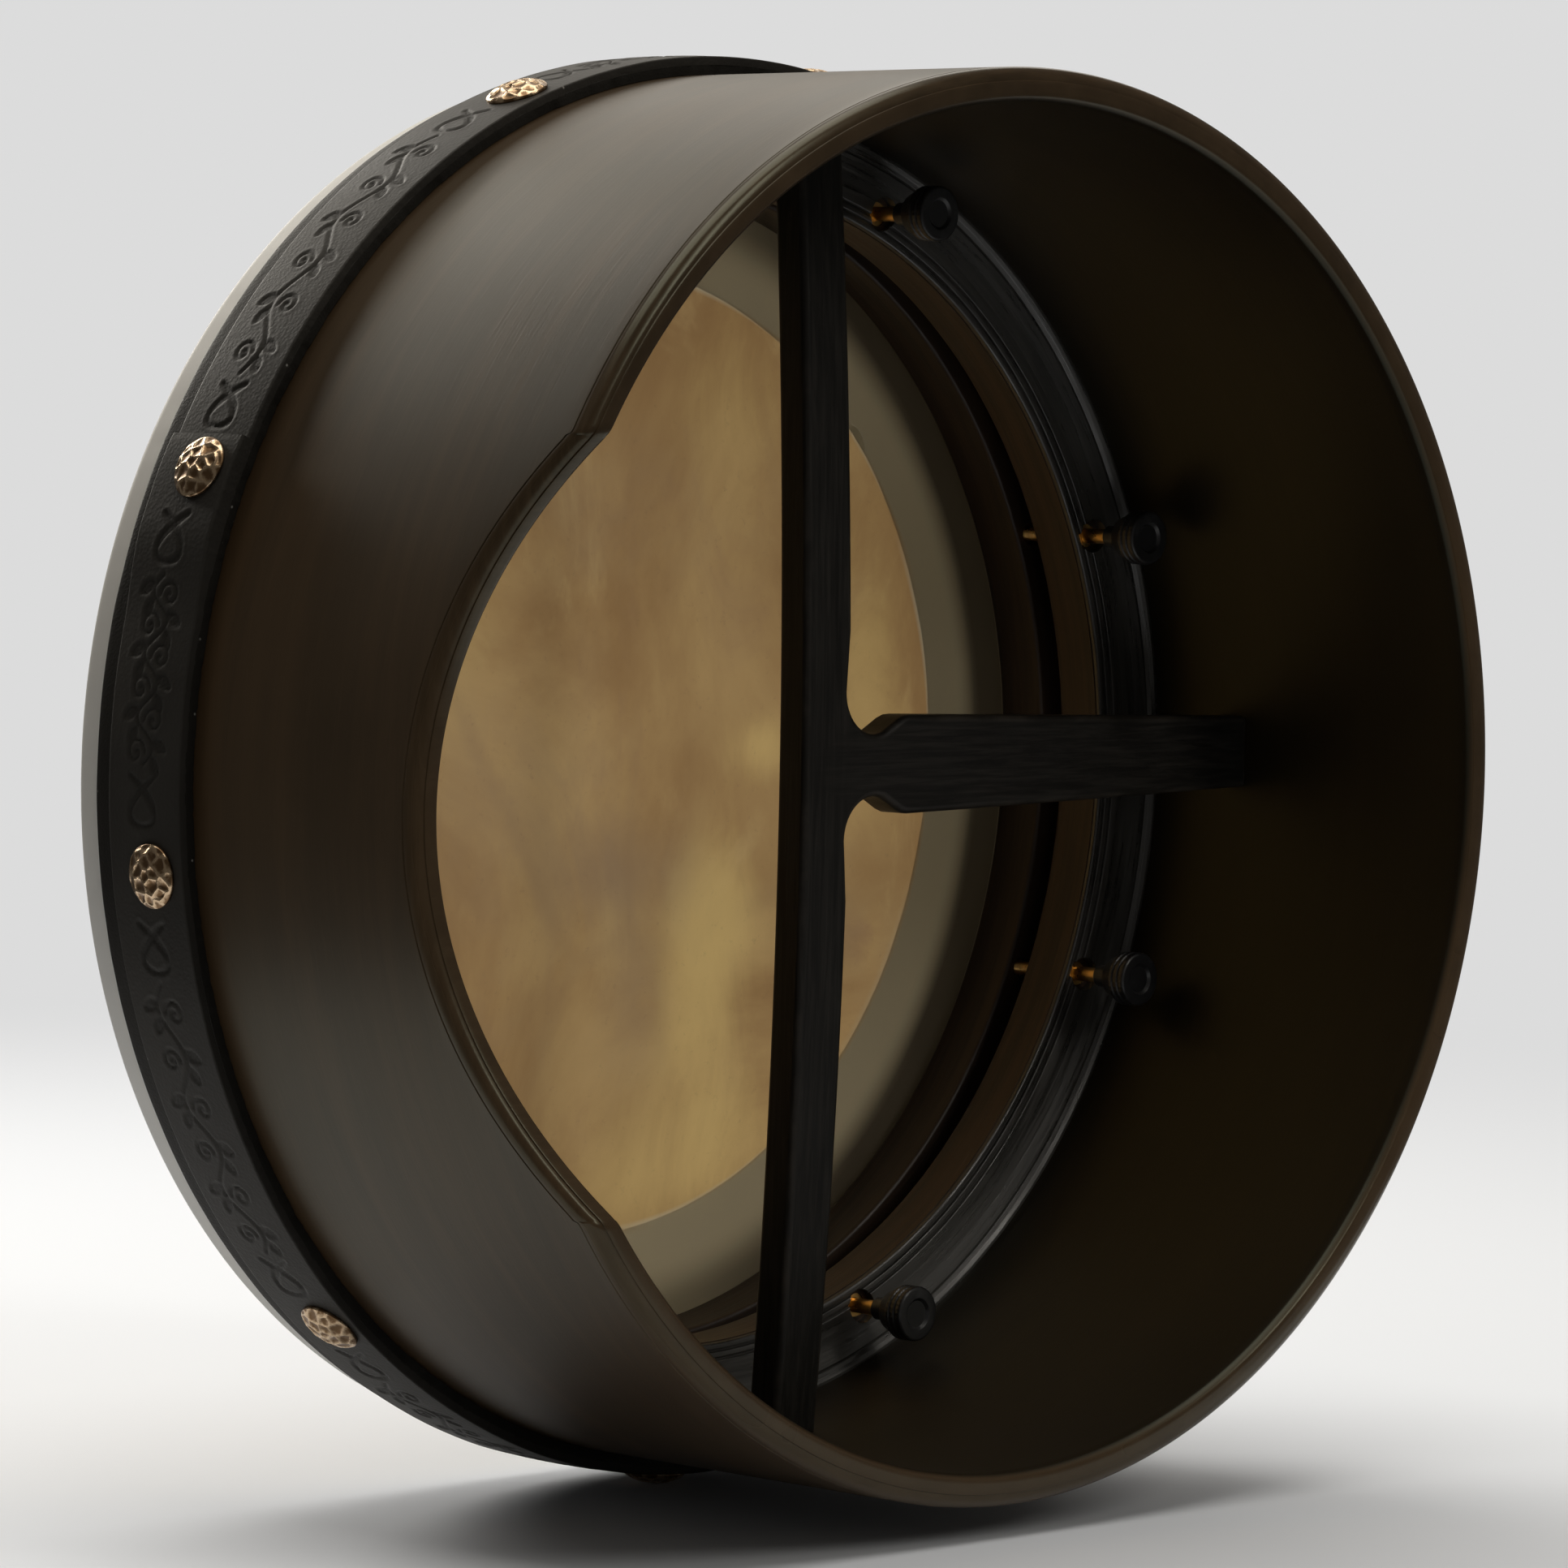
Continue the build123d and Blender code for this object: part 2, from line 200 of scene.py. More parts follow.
def grid_faces(rows, columns, wrap_rows=True):
    """Quads over a grid of points stored row by row, closed round its columns."""
    i = np.arange(rows if wrap_rows else rows - 1)
    a, b = np.meshgrid(i, np.arange(columns), indexing="ij")
    a2, b2 = (a + 1) % rows, (b + 1) % columns
    quads = [a * columns + b, a2 * columns + b, a2 * columns + b2, a * columns + b2]
    return np.stack(quads, -1).reshape(-1, 4)


def capped_faces(rows, columns, tip):
    """Faces of a grid like that, open at both ends, with fans to the points tip and tip + 1."""
    faces = grid_faces(rows, columns, wrap_rows=False).tolist()
    last = (rows - 1) * columns
    for j in range(columns):
        k = (j + 1) % columns
        faces += [[tip, j, k], [tip + 1, last + k, last + j]]
    return faces


def turned(name, profile):
    """A closed profile turned about the drum's axis."""
    segments = 360
    profile = np.array(profile)
    points = round_point(round_angles(segments), profile[:, :1], profile[:, 1:])
    return build(name, points, grid_faces(len(profile), segments))


def lathe_along_y(profile, segments, centre, radius_of):
    """Points and faces of a solid turned about a line along Y: the profile ends on that line at both
    ends, and radius_of carves it."""
    profile = np.array(profile)
    angle = round_angles(segments)
    radius, y = swept(profile[1:-1], angle)
    radius = radius_of(radius, y, angle)
    rows = np.stack([radius * np.cos(angle), y, radius * np.sin(angle)], -1)
    ends = np.array([[0, profile[0, 1], 0], [0, profile[-1, 1], 0]])
    points = np.concatenate([rows.reshape(-1, 3), ends]) + np.array(centre)
    return points, capped_faces(len(profile) - 2, segments, len(points) - 2)


def cut_round_holes(piece, radius, y_low, y_high):
    """Cuts a round hole along Y through a piece at each tuner."""
    work = bmesh.new()
    for angle in TUNER_ANGLES:
        x, _, z = round_point(math.radians(angle), TUNER_RADIUS, 0) * MM
        ring = bmesh.ops.create_cone(work, cap_ends=True, segments=40, radius1=radius * MM,
                                     radius2=radius * MM, depth=(y_high - y_low) * MM)
        turn = Quaternion((1, 0, 0), math.pi / 2).to_matrix()
        for vertex in ring["verts"]:
            vertex.co = turn @ vertex.co + Vector((x, (y_low + y_high) / 2 * MM, z))
    mesh = bpy.data.meshes.new("cutters")
    work.to_mesh(mesh)
    work.free()
    cutter = linked("cutters", mesh)
    modifier = piece.modifiers.new("holes", "BOOLEAN")
    modifier.operation, modifier.solver, modifier.object = "DIFFERENCE", "EXACT", cutter
    graph = bpy.context.evaluated_depsgraph_get()
    result = bpy.data.meshes.new_from_object(piece.evaluated_get(graph))
    piece.modifiers.clear()
    piece.data = result
    bpy.data.objects.remove(cutter)
    result.set_sharp_from_angle(angle=math.radians(35))


def wavy(angle, seed):
    """A smooth, seeded, closed variation round the drum, between about -1 and 1."""
    rng = np.random.default_rng(seed)
    total = 0 * angle
    for k in range(7):
        cycles, phase = 3 + 2 * k + rng.integers(0, 2), rng.uniform(0, TAU)
        total = total + np.sin(cycles * angle + phase) / (1 + 0.3 * k)
    return total / 2.5


# ---- materials
class Finish:
    """A material, with short ways to add its nodes."""

    def __init__(self, name, **sockets):
        self.material = bpy.data.materials.new(name)
        self.material.use_nodes = True
        self.nodes, self.links = self.material.node_tree.nodes, self.material.node_tree.links
        self.shader = next(n for n in self.nodes if n.type == "BSDF_PRINCIPLED")
        for socket, value in sockets.items():
            self.shader.inputs[socket.replace("_", " ")].default_value = value

    def add(self, kind, inputs=(), **settings):
        made = self.nodes.new("ShaderNode" + kind)
        for key, value in settings.items():
            setattr(made, key, value)
        for key, value in dict(inputs).items():
            if isinstance(value, bpy.types.NodeSocket):
                self.links.new(value, made.inputs[key])
            else:
                made.inputs[key].default_value = value
        return made

    def place(self, scale=(1, 1, 1)):
        """Object coordinates, stretched by a scale on each axis."""
        source = self.add("TexCoord").outputs["Object"]
        return self.add("Mapping", {"Vector": source, "Scale": scale}).outputs["Vector"]

    def away(self, axes):
        """The distance from an axis: axes is 0 along it and 1 across it."""
        source = self.add("TexCoord").outputs["Object"]
        level = self.add("VectorMath", {0: source, 1: axes}, operation="MULTIPLY").outputs["Vector"]
        return self.add("VectorMath", {0: level}, operation="LENGTH").outputs["Value"]

    def place_round(self, across, along):
        """Coordinates for grain that runs round the drum: fine across it, slow along it."""
        axes = self.add("SeparateXYZ", {"Vector": self.place()}).outputs
        fine = self.math("ADD", self.away((1, 0, 1)), self.math("MULTIPLY", axes["Y"], 1.7))
        inputs = {"X": self.math("MULTIPLY", fine, across), "Y": self.math("MULTIPLY", axes["X"], along),
                  "Z": self.math("MULTIPLY", axes["Z"], along)}
        return self.add("CombineXYZ", inputs).outputs["Vector"]

    def value(self, name):
        return self.add("Attribute", attribute_name=name).outputs["Fac"]

    def noise(self, vector, scale, detail, roughness=0.55, distortion=0.0):
        inputs = {"Vector": vector, "Scale": scale, "Detail": detail, "Roughness": roughness,
                  "Distortion": distortion}
        return self.add("TexNoise", inputs).outputs["Fac"]

    def cells(self, vector, scale, feature="F1", smooth=0.0):
        made = self.add("TexVoronoi", {"Vector": vector, "Scale": scale}, feature=feature)
        if feature == "SMOOTH_F1":
            made.inputs["Smoothness"].default_value = smooth
        return made.outputs["Distance"]

    def math(self, operation, one, two, clamp=False):
        return self.add("Math", {0: one, 1: two}, operation=operation, use_clamp=clamp).outputs[0]

    def levels(self, value, low, high, to_low=0.0, to_high=1.0):
        inputs = {"Value": value, "From Min": low, "From Max": high, "To Min": to_low, "To Max": to_high}
        return self.add("MapRange", inputs, interpolation_type="SMOOTHSTEP").outputs["Result"]

    def blend(self, amount, one, two):
        """Mixes the colour two into the colour one."""
        return self.add("Mix", {0: amount, 6: one, 7: two}, data_type="RGBA").outputs[2]

    def over(self, colour, mask, most, tint):
        """Lays a tint over a colour where a mask is high, at most by a share."""
        return self.blend(self.math("MULTIPLY", mask, most), colour, rgb(*tint))

    def mix_in(self, share, other):
        """Mixes a share of another shader into the surface."""
        mixed = self.add("MixShader", {0: share, 1: self.shader.outputs[0], 2: other.outputs[0]})
        surface = next(n for n in self.nodes if n.type == "OUTPUT_MATERIAL").inputs["Surface"]
        self.links.new(mixed.outputs[0], surface)

    def done(self, colour, rough, *bumps):
        """The material with its colour, roughness and stacked bumps, each (height, metres, strength)."""
        normal = None
        for height, distance, strength in bumps:
            inputs = {"Height": height, "Distance": distance, "Strength": strength}
            if normal is not None:
                inputs["Normal"] = normal
            normal = self.add("Bump", inputs).outputs["Normal"]
        for socket, value in (("Base Color", colour), ("Roughness", rough), ("Normal", normal)):
            if value is not None:
                self.links.new(value, self.shader.inputs[socket])
        return self.material


def rgb(*values):
    return (*values, 1.0)


def toned(colour, factor):
    """A colour made lighter or darker."""
    return rgb(*[factor * part for part in colour])


def walnut():
    """Dark stained wood under satin lacquer: faint grain round the shell, soft clouding, fine scuffs,
    and painted shade on the inner wall.
    """
    f = Finish("walnut", Specular_IOR_Level=0.36, Specular_Tint=rgb(0.93, 0.97, 0.74))
    fibre = f.noise(f.place((9, 150, 9)), 7.0, 6, 0.62, 0.3)
    streak = f.noise(f.place((3.2, 34, 3.2)), 2.6, 5, 0.55, 0.6)
    cloud = f.noise(f.place(), 7.5, 4, 0.55)
    dark, pale = rgb(0.0235, 0.0136, 0.0066), rgb(0.045, 0.0265, 0.0130)
    colour = f.blend(f.levels(cloud, 0.25, 0.75), dark, pale)
    colour = f.blend(f.levels(streak, 0.40, 0.75, 0.0, 0.55), colour, rgb(0.064, 0.0372, 0.0180))
    colour = f.blend(f.levels(fibre, 0.56, 0.80, 0.0, 0.25), colour, rgb(0.090, 0.057, 0.033))
    pores = f.levels(f.noise(f.place((14, 620, 14)), 5.0, 3, 0.7), 0.60, 0.72)
    colour = f.over(colour, pores, 0.30, (0.008, 0.005, 0.003))
    scuff = f.levels(f.noise(f.place((46, 60, 9)), 5.0, 8, 0.8, 1.6), 0.68, 0.76)
    scuff = f.math("MULTIPLY", scuff, f.levels(f.noise(f.place(), 9.0, 2), 0.54, 0.66))
    colour = f.over(colour, scuff, 0.38, (0.21, 0.19, 0.165))
    worn = f.math("MULTIPLY", f.value("edge"), f.levels(fibre, 0.35, 0.7, 0.35, 1.0))
    colour = f.over(colour, worn, 0.50, (0.078, 0.050, 0.027))
    # Painted shade: the inner wall is darkened, standing in for the dim light inside the drum.
    colour = f.over(colour, f.value("inside"), 0.80, (0.0035, 0.0028, 0.0016))
    rough = f.math("ADD", f.levels(cloud, 0.2, 0.8, 0.36, 0.43), f.math("MULTIPLY", scuff, 0.12))
    rough = f.math("SUBTRACT", rough, f.math("MULTIPLY", f.value("edge"), 0.14))
    return f.done(colour, rough, (fibre, 0.00012, 0.25), (pores, 0.00006, -0.45),
                  (scuff, 0.00004, 0.4), (cloud, 0.0012, 0.05))


def black_wood(name, gloss, shine, coat=0.0, round_grain=False):
    """Black stained wood, its grain along Z, or along X in the crossbar's arm, or round the drum and
    streaky."""
    f = Finish(name, Coat_Weight=coat, Coat_Roughness=0.28, Specular_IOR_Level=shine)
    grain = f.place_round(210, 9) if round_grain else f.place((210, 210, 9))
    fibre = f.noise(grain, 3.4, 6, 0.65, 0.4)
    if not round_grain:
        change = f.math("SUBTRACT", f.noise(f.place((9, 210, 210)), 3.4, 6, 0.65, 0.4), fibre)
        fibre = f.math("ADD", fibre, f.math("MULTIPLY", f.value("arm"), change))
    soot = f.noise(f.place(), 55.0, 4, 0.6)
    tone = 1.7 if round_grain else 1.0
    dark, pale = toned((0.0085, 0.0079, 0.0068), tone), toned((0.0235, 0.0212, 0.0180), tone)
    colour = f.blend(f.levels(fibre, 0.35, 0.75), dark, pale)
    rubbed = f.math("MULTIPLY", f.value("edge"), f.levels(soot, 0.4, 0.7, 0.1, 0.7))
    colour = f.blend(rubbed, colour, rgb(0.050, 0.042, 0.034))
    streak = f.levels(fibre, 0.38, 0.66, 0.0, 0.26 if round_grain else 0.05)
    rough = f.math("ADD", f.levels(soot, 0.25, 0.8, gloss - 0.05, gloss + 0.10), streak)
    return f.done(colour, rough, (fibre, 0.00025, 0.34 if round_grain else 0.30), (soot, 0.00006, 0.3))


def ring_wood(name, tone):
    """Brown wood for the inner rings, laminated round the drum; tone lightens or darkens it, as painted
    shade: the ring and the hoop are darker copies of one wood.
    """
    f = Finish(name, Coat_Weight=0.12, Coat_Roughness=0.35)
    fibre = f.noise(f.place_round(170, 10), 6.0, 6, 0.6, 0.3)
    streak = f.noise(f.place_round(60, 4), 3.0, 4, 0.6, 0.5)
    dark, middle = toned((0.030, 0.016, 0.008), tone), toned((0.080, 0.042, 0.020), tone)
    colour = f.blend(f.levels(streak, 0.3, 0.7), dark, middle)
    colour = f.blend(f.levels(fibre, 0.5, 0.8, 0.0, 0.6), colour, toned((0.150, 0.085, 0.042), tone))
    return f.done(colour, f.levels(fibre, 0.2, 0.8, 0.42, 0.60), (fibre, 0.0002, 0.35))


def brass(name):
    """Turned brass: fine rings from the lathe, and darker, duller stains."""
    f = Finish(name, Metallic=1.0)
    rings = f.noise(f.place((40, 4000, 40)), 1.0, 3, 0.6)
    stain = f.noise(f.place(), 320.0, 4, 0.6)
    clean = (0.98, 0.60, 0.20)
    colour = f.blend(f.levels(stain, 0.45, 0.8, 0.0, 0.6), rgb(*clean), toned(clean, 0.55))
    return f.done(colour, f.levels(stain, 0.3, 0.8, 0.26, 0.46), (rings, 0.00003, 0.3))


def hammered_bronze():
    """Aged bronze: pale on the worn ridges, brown in the hammered hollows."""
    f = Finish("hammered_bronze", Metallic=1.0)
    grime = f.noise(f.place(), 700.0, 5, 0.65)
    hollow = f.math("ADD", f.value("hollow"), f.levels(grime, 0.35, 0.75, -0.25, 0.30), clamp=True)
    colour = f.blend(f.levels(hollow, 0.05, 0.75), rgb(0.62, 0.46, 0.30), rgb(0.165, 0.098, 0.050))
    return f.done(colour, f.levels(hollow, 0.0, 1.0, 0.24, 0.36), (grime, 0.00008, 0.5))


def leather(name, tone, pebble, rough):
    """Black leather: a fine pebbled grain, cloudy wear, dull grooves and flecked cut edges."""
    f = Finish(name, Specular_IOR_Level=0.15, Specular_Tint=rgb(1.0, 0.96, 0.89))
    grain = f.cells(f.place(), pebble, "SMOOTH_F1", 0.6)
    crease = f.noise(f.place(), 180.0, 5, 0.65, 0.6)
    cloud = f.noise(f.place(), 14.0, 4, 0.55)
    colour = f.blend(f.levels(cloud, 0.3, 0.75), toned(tone, 0.72), toned(tone, 1.35))
    colour = f.blend(f.levels(crease, 0.60, 0.85, 0.0, 0.35), colour, toned(tone, 2.2))
    colour = f.blend(f.math("MULTIPLY", f.value("groove"), 0.45), colour, toned(tone, 0.40))
    flecks = f.levels(f.cells(f.place(), 260.0), 0.0, 0.13, 1.0, 0.0)
    flecks = f.math("MULTIPLY", flecks, f.levels(f.noise(f.place(), 75.0, 2), 0.55, 0.62))
    flecks = f.math("MULTIPLY", flecks, f.value("edge"))
    colour = f.over(colour, flecks, 0.85, (0.62, 0.60, 0.56))
    rough = f.levels(cloud, 0.2, 0.8, rough - 0.06, rough + 0.08)
    return f.done(colour, rough, (grain, 0.00025, 0.22), (crease, 0.00018, 0.30), (cloud, 0.0006, 0.15))


def goatskin():
    """Thin goatskin: mottled tan with faint veins, a painted pale grey where the tape backs it that
    stands in for the light the tape dims, painted shade by the hoop, white on the wrap.
    """
    f = Finish("goatskin", Roughness=0.5, Sheen_Weight=0.05)
    cloud = f.noise(f.place(), 9.0, 6, 0.58, 0.8)
    patch = f.noise(f.place((1, 1, 0.55)), 21.0, 5, 0.6, 1.2)
    speck = f.noise(f.place(), 420.0, 5, 0.7)
    colour = f.blend(f.levels(cloud, 0.32, 0.70), rgb(0.39, 0.234, 0.102), rgb(0.63, 0.43, 0.196))
    colour = f.blend(f.levels(patch, 0.52, 0.78, 0.0, 0.55), colour, rgb(0.76, 0.56, 0.27))
    colour = f.blend(f.levels(patch, 0.22, 0.42, 0.40, 0.0), colour, rgb(0.34, 0.205, 0.125))
    vein = f.cells(f.place((1, 1, 0.6)), 13.0, "DISTANCE_TO_EDGE")
    vein = f.math("MULTIPLY", f.levels(vein, 0.0, 0.05, 1.0, 0.0),
                  f.levels(cloud, 0.42, 0.60, 0.0, 0.22))
    colour = f.blend(vein, colour, rgb(0.30, 0.20, 0.12))
    ragged_edge = f.levels(f.noise(f.place((1, 1, 0.6)), 30.0, 6, 0.62, 0.8), 0.3, 0.7, -0.20, 0.20)
    golden = f.levels(f.math("ADD", f.value("golden"), ragged_edge), 0.05, 1.25, 0.0, 0.80)
    colour = f.blend(golden, colour, rgb(0.84, 0.61, 0.25))
    dusky = f.levels(f.math("ADD", f.value("dusky"), ragged_edge), 0.05, 1.15, 0.0, 0.75)
    colour = f.blend(dusky, colour, rgb(0.375, 0.262, 0.165))
    colour = f.blend(f.levels(speck, 0.58, 0.75, 0.0, 0.18), colour, rgb(0.20, 0.13, 0.08))
    # Painted light and shade: a pale grey where the tape backs the skin stands in for the light the tape
    # dims; the shaded mask paints the hoop's shade by its edge.
    colour = f.over(colour, f.value("painted_tape_shade"), 0.85, (0.72, 0.65, 0.47))
    colour = f.over(colour, f.value("shaded"), 0.95, (0.040, 0.030, 0.020))
    colour = f.over(colour, f.value("wrap"), 0.95, (0.95, 0.94, 0.90))
    f.mix_in(0.35, f.add("BsdfTranslucent", {"Color": colour}))
    return f.done(colour, None, (cloud, 0.0008, 0.12), (patch, 0.0004, 0.15), (speck, 0.00005, 0.35))


def cloth_tape():
    """Black woven damping tape: fine threads both ways, thin enough to pass a little light."""
    f = Finish("cloth_tape")
    f.mix_in(0.62, f.add("BsdfTranslucent", {"Color": rgb(0.95, 0.92, 0.85)}))
    weave = f.cells(f.place((1.4, 1, 1)), 1300.0, "SMOOTH_F1", 0.3)
    wear = f.noise(f.place(), 45.0, 5, 0.6)
    colour = f.blend(f.levels(wear, 0.3, 0.8), rgb(0.012, 0.012, 0.013), rgb(0.034, 0.034, 0.035))
    rough = f.levels(wear, 0.3, 0.8, 0.45, 0.62)
    return f.done(colour, rough, (weave, 0.00018, 0.5), (wear, 0.0004, 0.2))


def knob_plastic():
    """Black moulded plastic, with the finest of grains and a few rubbed places."""
    f = Finish("knob_plastic", Coat_Weight=0.2, Coat_Roughness=0.25)
    fine = f.noise(f.place(), 1500.0, 4, 0.6)
    scuff = f.noise(f.place((1, 3, 1)), 260.0, 5, 0.7)
    colour = f.blend(f.levels(scuff, 0.5, 0.8), rgb(0.011, 0.011, 0.012), rgb(0.035, 0.035, 0.037))
    return f.done(colour, f.levels(scuff, 0.3, 0.8, 0.30, 0.48), (fine, 0.00004, 0.35))


def bare_beech():
    """Unfinished beech, for the hidden dowels."""
    f = Finish("bare_beech", Roughness=0.6)
    fibre = f.noise(f.place((20, 200, 20)), 5.0, 5)
    colour = f.blend(fibre, rgb(0.50, 0.33, 0.18), rgb(0.68, 0.50, 0.32))
    return f.done(colour, None, (fibre, 0.0002, 0.3))


def dress(piece, material, body, slot, *nodes):
    """Gives a piece its material and its body, and hides the CAD nodes it stands for; slot is not used.
    """
    piece.data.materials.clear()
    piece.data.materials.append(material)
    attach(piece, body)
    if nodes:
        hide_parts(*nodes)
    return piece


# ---- shell
def back_edge(x, z):
    """The y of the shell's back edge: flat, but for the cutaway's arc on the +X side."""
    kink = 1.4
    offset = np.clip(np.abs(z - CUT_Z), 0, CUT_RADIUS)
    arc = SHELL_BACK - CUT_REACH + CUT_RADIUS - np.sqrt(CUT_RADIUS**2 - offset**2)
    arc = np.where(x > 0, arc, SHELL_BACK + 99)
    share = np.clip(0.5 + 0.5 * (SHELL_BACK - arc) / kink, 0, 1)
    return SHELL_BACK + (arc - SHELL_BACK) * share - kink * share * (1 - share)


def shell_columns():
    """Angles of the shell's columns, closer together at the cutaway's two kinks."""
    half_chord = math.sqrt(CUT_RADIUS**2 - (CUT_RADIUS - CUT_REACH) ** 2)
    angles = list(np.linspace(0, 360, 720, endpoint=False))
    for z in (CUT_Z + half_chord, CUT_Z - half_chord):
        kink = 180 - math.degrees(math.asin(z / SHELL_RADIUS))
        angles = [a for a in angles if abs(a - kink) > 1.1]
        angles += [kink + step for step in np.linspace(-1, 1, 15)]
    return np.radians(sorted(angles))


def make_shell():
    outer, inner = SHELL_RADIUS, SHELL_INNER
    # Each row is (radius, distance in from the back edge, the same from the front edge, share of front).
    rim = []
    round_over, front_round, deep, steps = 3.4, 3.5, 3.0, 26
    for k in range(9):
        turn = k / 8 * math.pi / 2
        rim.append((outer - round_over + round_over * math.cos(turn), 3.3 - 2.95 * math.sin(turn)))
    rim += [(outer - round_over - 0.10, 0.05), (outer - round_over - 0.25, 0.0)]
    rim += [(173.2, 0.0), (172.0, 0.0), (inner + 1.55, 0.04), (inner + 1.25, 0.16), (inner + 0.8, 0.62)]
    rim += [(inner + 0.22, 1.35), (inner, 1.9)]
    rim = [(outer, 4.6), (outer, 4.25), (outer - 0.22, 4.05), (outer - 0.22, 3.85), (outer, 3.6)] + rim
    rows = [(r, back, 0.0, 0.0) for r, back in rim]
    rows += [(inner, 1.9 + deep, deep, k / steps) for k in range(steps + 1)]
    rows += [(inner, 0, 2.0, 1.0), (inner + 2, 0, 0.0, 1.0), (outer - front_round, 0, 0.0, 1.0)]
    rows += [(outer - front_round * (1 - math.sin(t)), 0, front_round * (1 - math.cos(t)), 1.0)
             for t in (0.5, 1.0, 1.57)]
    rows += [(outer, 4.6 + deep, deep + front_round, 1 - k / steps) for k in range(steps + 1)]

    column = shell_columns()
    radius, from_back, from_front, share = np.array(rows).T[..., None]

    # Across the cutaway the rim's section lines run along X, as the cutter went.
    swing = column[None, :] - math.pi
    level = SHELL_RADIUS * np.sin(swing) / radius
    square = np.sign(swing) * np.arcsin(np.clip(np.abs(level), 0, 0.9)) - swing
    fade = np.clip((np.radians(58) - np.abs(swing)) / np.radians(24), 0, 1)
    angle = column[None, :] + square * smooth(fade)

    place = round_point(angle, radius + 0 * angle, 0 * angle)
    edge = back_edge(place[..., 0], place[..., 2])
    slope = np.clip(np.abs(place[..., 2] - CUT_Z) / CUT_RADIUS, 0, 0.7)
    stretch = np.where(edge < SHELL_BACK - 0.5, 1 / np.sqrt(1 - slope**2), 1.0)
    y_back = edge - from_back * stretch
    place[..., 1] = y_back * (1 - share) + (SHELL_FRONT + from_front) * share
    worn = np.exp(-((edge - place[..., 1]) / 5.0) ** 2) * (radius > inner + 1)
    # The inside value marks the inner wall for painted shade.
    values = {"edge": worn + 0 * angle, "inside": (radius < inner + 0.3) + 0 * angle}
    piece = build("shell_wood", place, grid_faces(len(rows), len(column)), values, sharp=28)
    return dress(piece, walnut(), "drum_frame", "shell_walnut", "shell")


# ---- crossbar
def arc_points(centre, radius, start, end):
    turn = np.radians(np.linspace(start, end, 14))
    return [(centre[0] + radius * math.cos(t), centre[1] + radius * math.sin(t)) for t in turn]


def crossbar_outline():
    """The T's outline in (x, z), from the foot of the upright round to the foot again."""
    half, reach = BAR_WIDTH / 2, SHELL_INNER + 0.6
    fillet, neck = 11.0, 8.0
    end = math.sqrt(reach**2 - half**2)
    # The upright's kink, the fillet, the waisted neck and the arm's edge, above the arm's middle.
    upper = [(-9.0, 34.5), (-8.9, 33.6)] + arc_points((-half - fillet, neck + fillet), fillet, 0, -90)
    upper += [(-21.0, 8.4), (-24.0, 10.0), (-27.2, 11.8), (-29.4, 12.6), (-31.5, 12.75), (-reach, 9.6)]
    side = upper + [(x, -z) for x, z in reversed(upper)]
    points = [(half, -end), (half, end), (0, reach), (-half, end)]
    points += [(x, ARM_Z + z) for x, z in side] + [(-half, -end), (0, -reach)]
    return subdivided(points, 3.0)


def unit(vectors):
    return vectors / np.linalg.norm(vectors, axis=1, keepdims=True)


def make_crossbar():
    """One carved T: a wall swept round its outline with rounded edges, and filled faces, then bowed."""
    outline = np.array(crossbar_outline())
    ahead, behind = np.roll(outline, -1, 0), np.roll(outline, 1, 0)
    first, second = unit(outline - behind), unit(ahead - outline)
    tangent = unit(first + second)
    inward = np.stack([-tangent[:, 1], tangent[:, 0]], -1)
    lengthen = 1 / np.clip((first * tangent).sum(1), 0.5, 1)
    rounding, half = 1.9, BAR_THICKNESS / 2
    rings, worn = [], []
    section = [(k * 15, -1) for k in range(6, -1, -1)] + [(k * 15, 1) for k in range(0, 7)]
    for degrees, side in section:
        t = math.radians(degrees)
        inset = rounding * (1 - math.cos(t))
        level = side * (half - rounding * (1 - math.sin(t)))
        flat = outline + inward * (lengthen * inset)[:, None]
        rings.append(np.stack([flat[:, 0], np.full(len(flat), level), flat[:, 1]], -1))
        worn.append(np.full(len(flat), math.sin(2 * t)))
    count = len(outline)
    points = np.concatenate(rings)
    faces = grid_faces(len(rings), count, wrap_rows=False).tolist()
    inset = [Vector((x, z)) for x, _, z in rings[0]]
    _, _, triangles, _, _, _ = delaunay_2d_cdt(inset, [], [list(range(count))], 1, 1e-6)
    for start in (0, (len(rings) - 1) * count):
        faces += [[start + corner for corner in triangle] for triangle in triangles]
    bow = (SHELL_INNER**2 + BAR_BOW**2) / (2 * BAR_BOW)
    points[:, 1] += np.sqrt(bow**2 - points[:, 0] ** 2 - points[:, 2] ** 2) - bow
    arm = np.clip((-9.5 - points[:, 0]) / 0.8, 0, 1)
    piece = build("crossbar_wood", points, faces, {"edge": np.concatenate(worn), "arm": arm}, sharp=40)
    weighted = piece.modifiers.new("weighted", "WEIGHTED_NORMAL")
    weighted.keep_sharp = True
    return dress(piece, black_wood("bar_black", 0.42, 0.19), "drum_frame", "black_stained_wood",
                 "crossbar_upright", "crossbar_arm")


# ---- inner rings
def make_anchor_ring():
    outer = SHELL_INNER - 0.05
    points = [(RING_RADIUS, RING_BACK), (outer, RING_BACK),
              (outer, RING_FRONT), (RING_RADIUS, RING_FRONT)]
    piece = turned("anchor_ring_wood", soften(points, {3: 1.4}))
    cut_round_holes(piece, 3.2, RING_FRONT - 2, RING_BACK + 2)
    # Painted shade: the anchor ring gets a darker copy of the ring wood.
    return dress(piece, ring_wood("anchor_wood", 0.70), "drum_frame", "ring_wood", "anchor_ring")


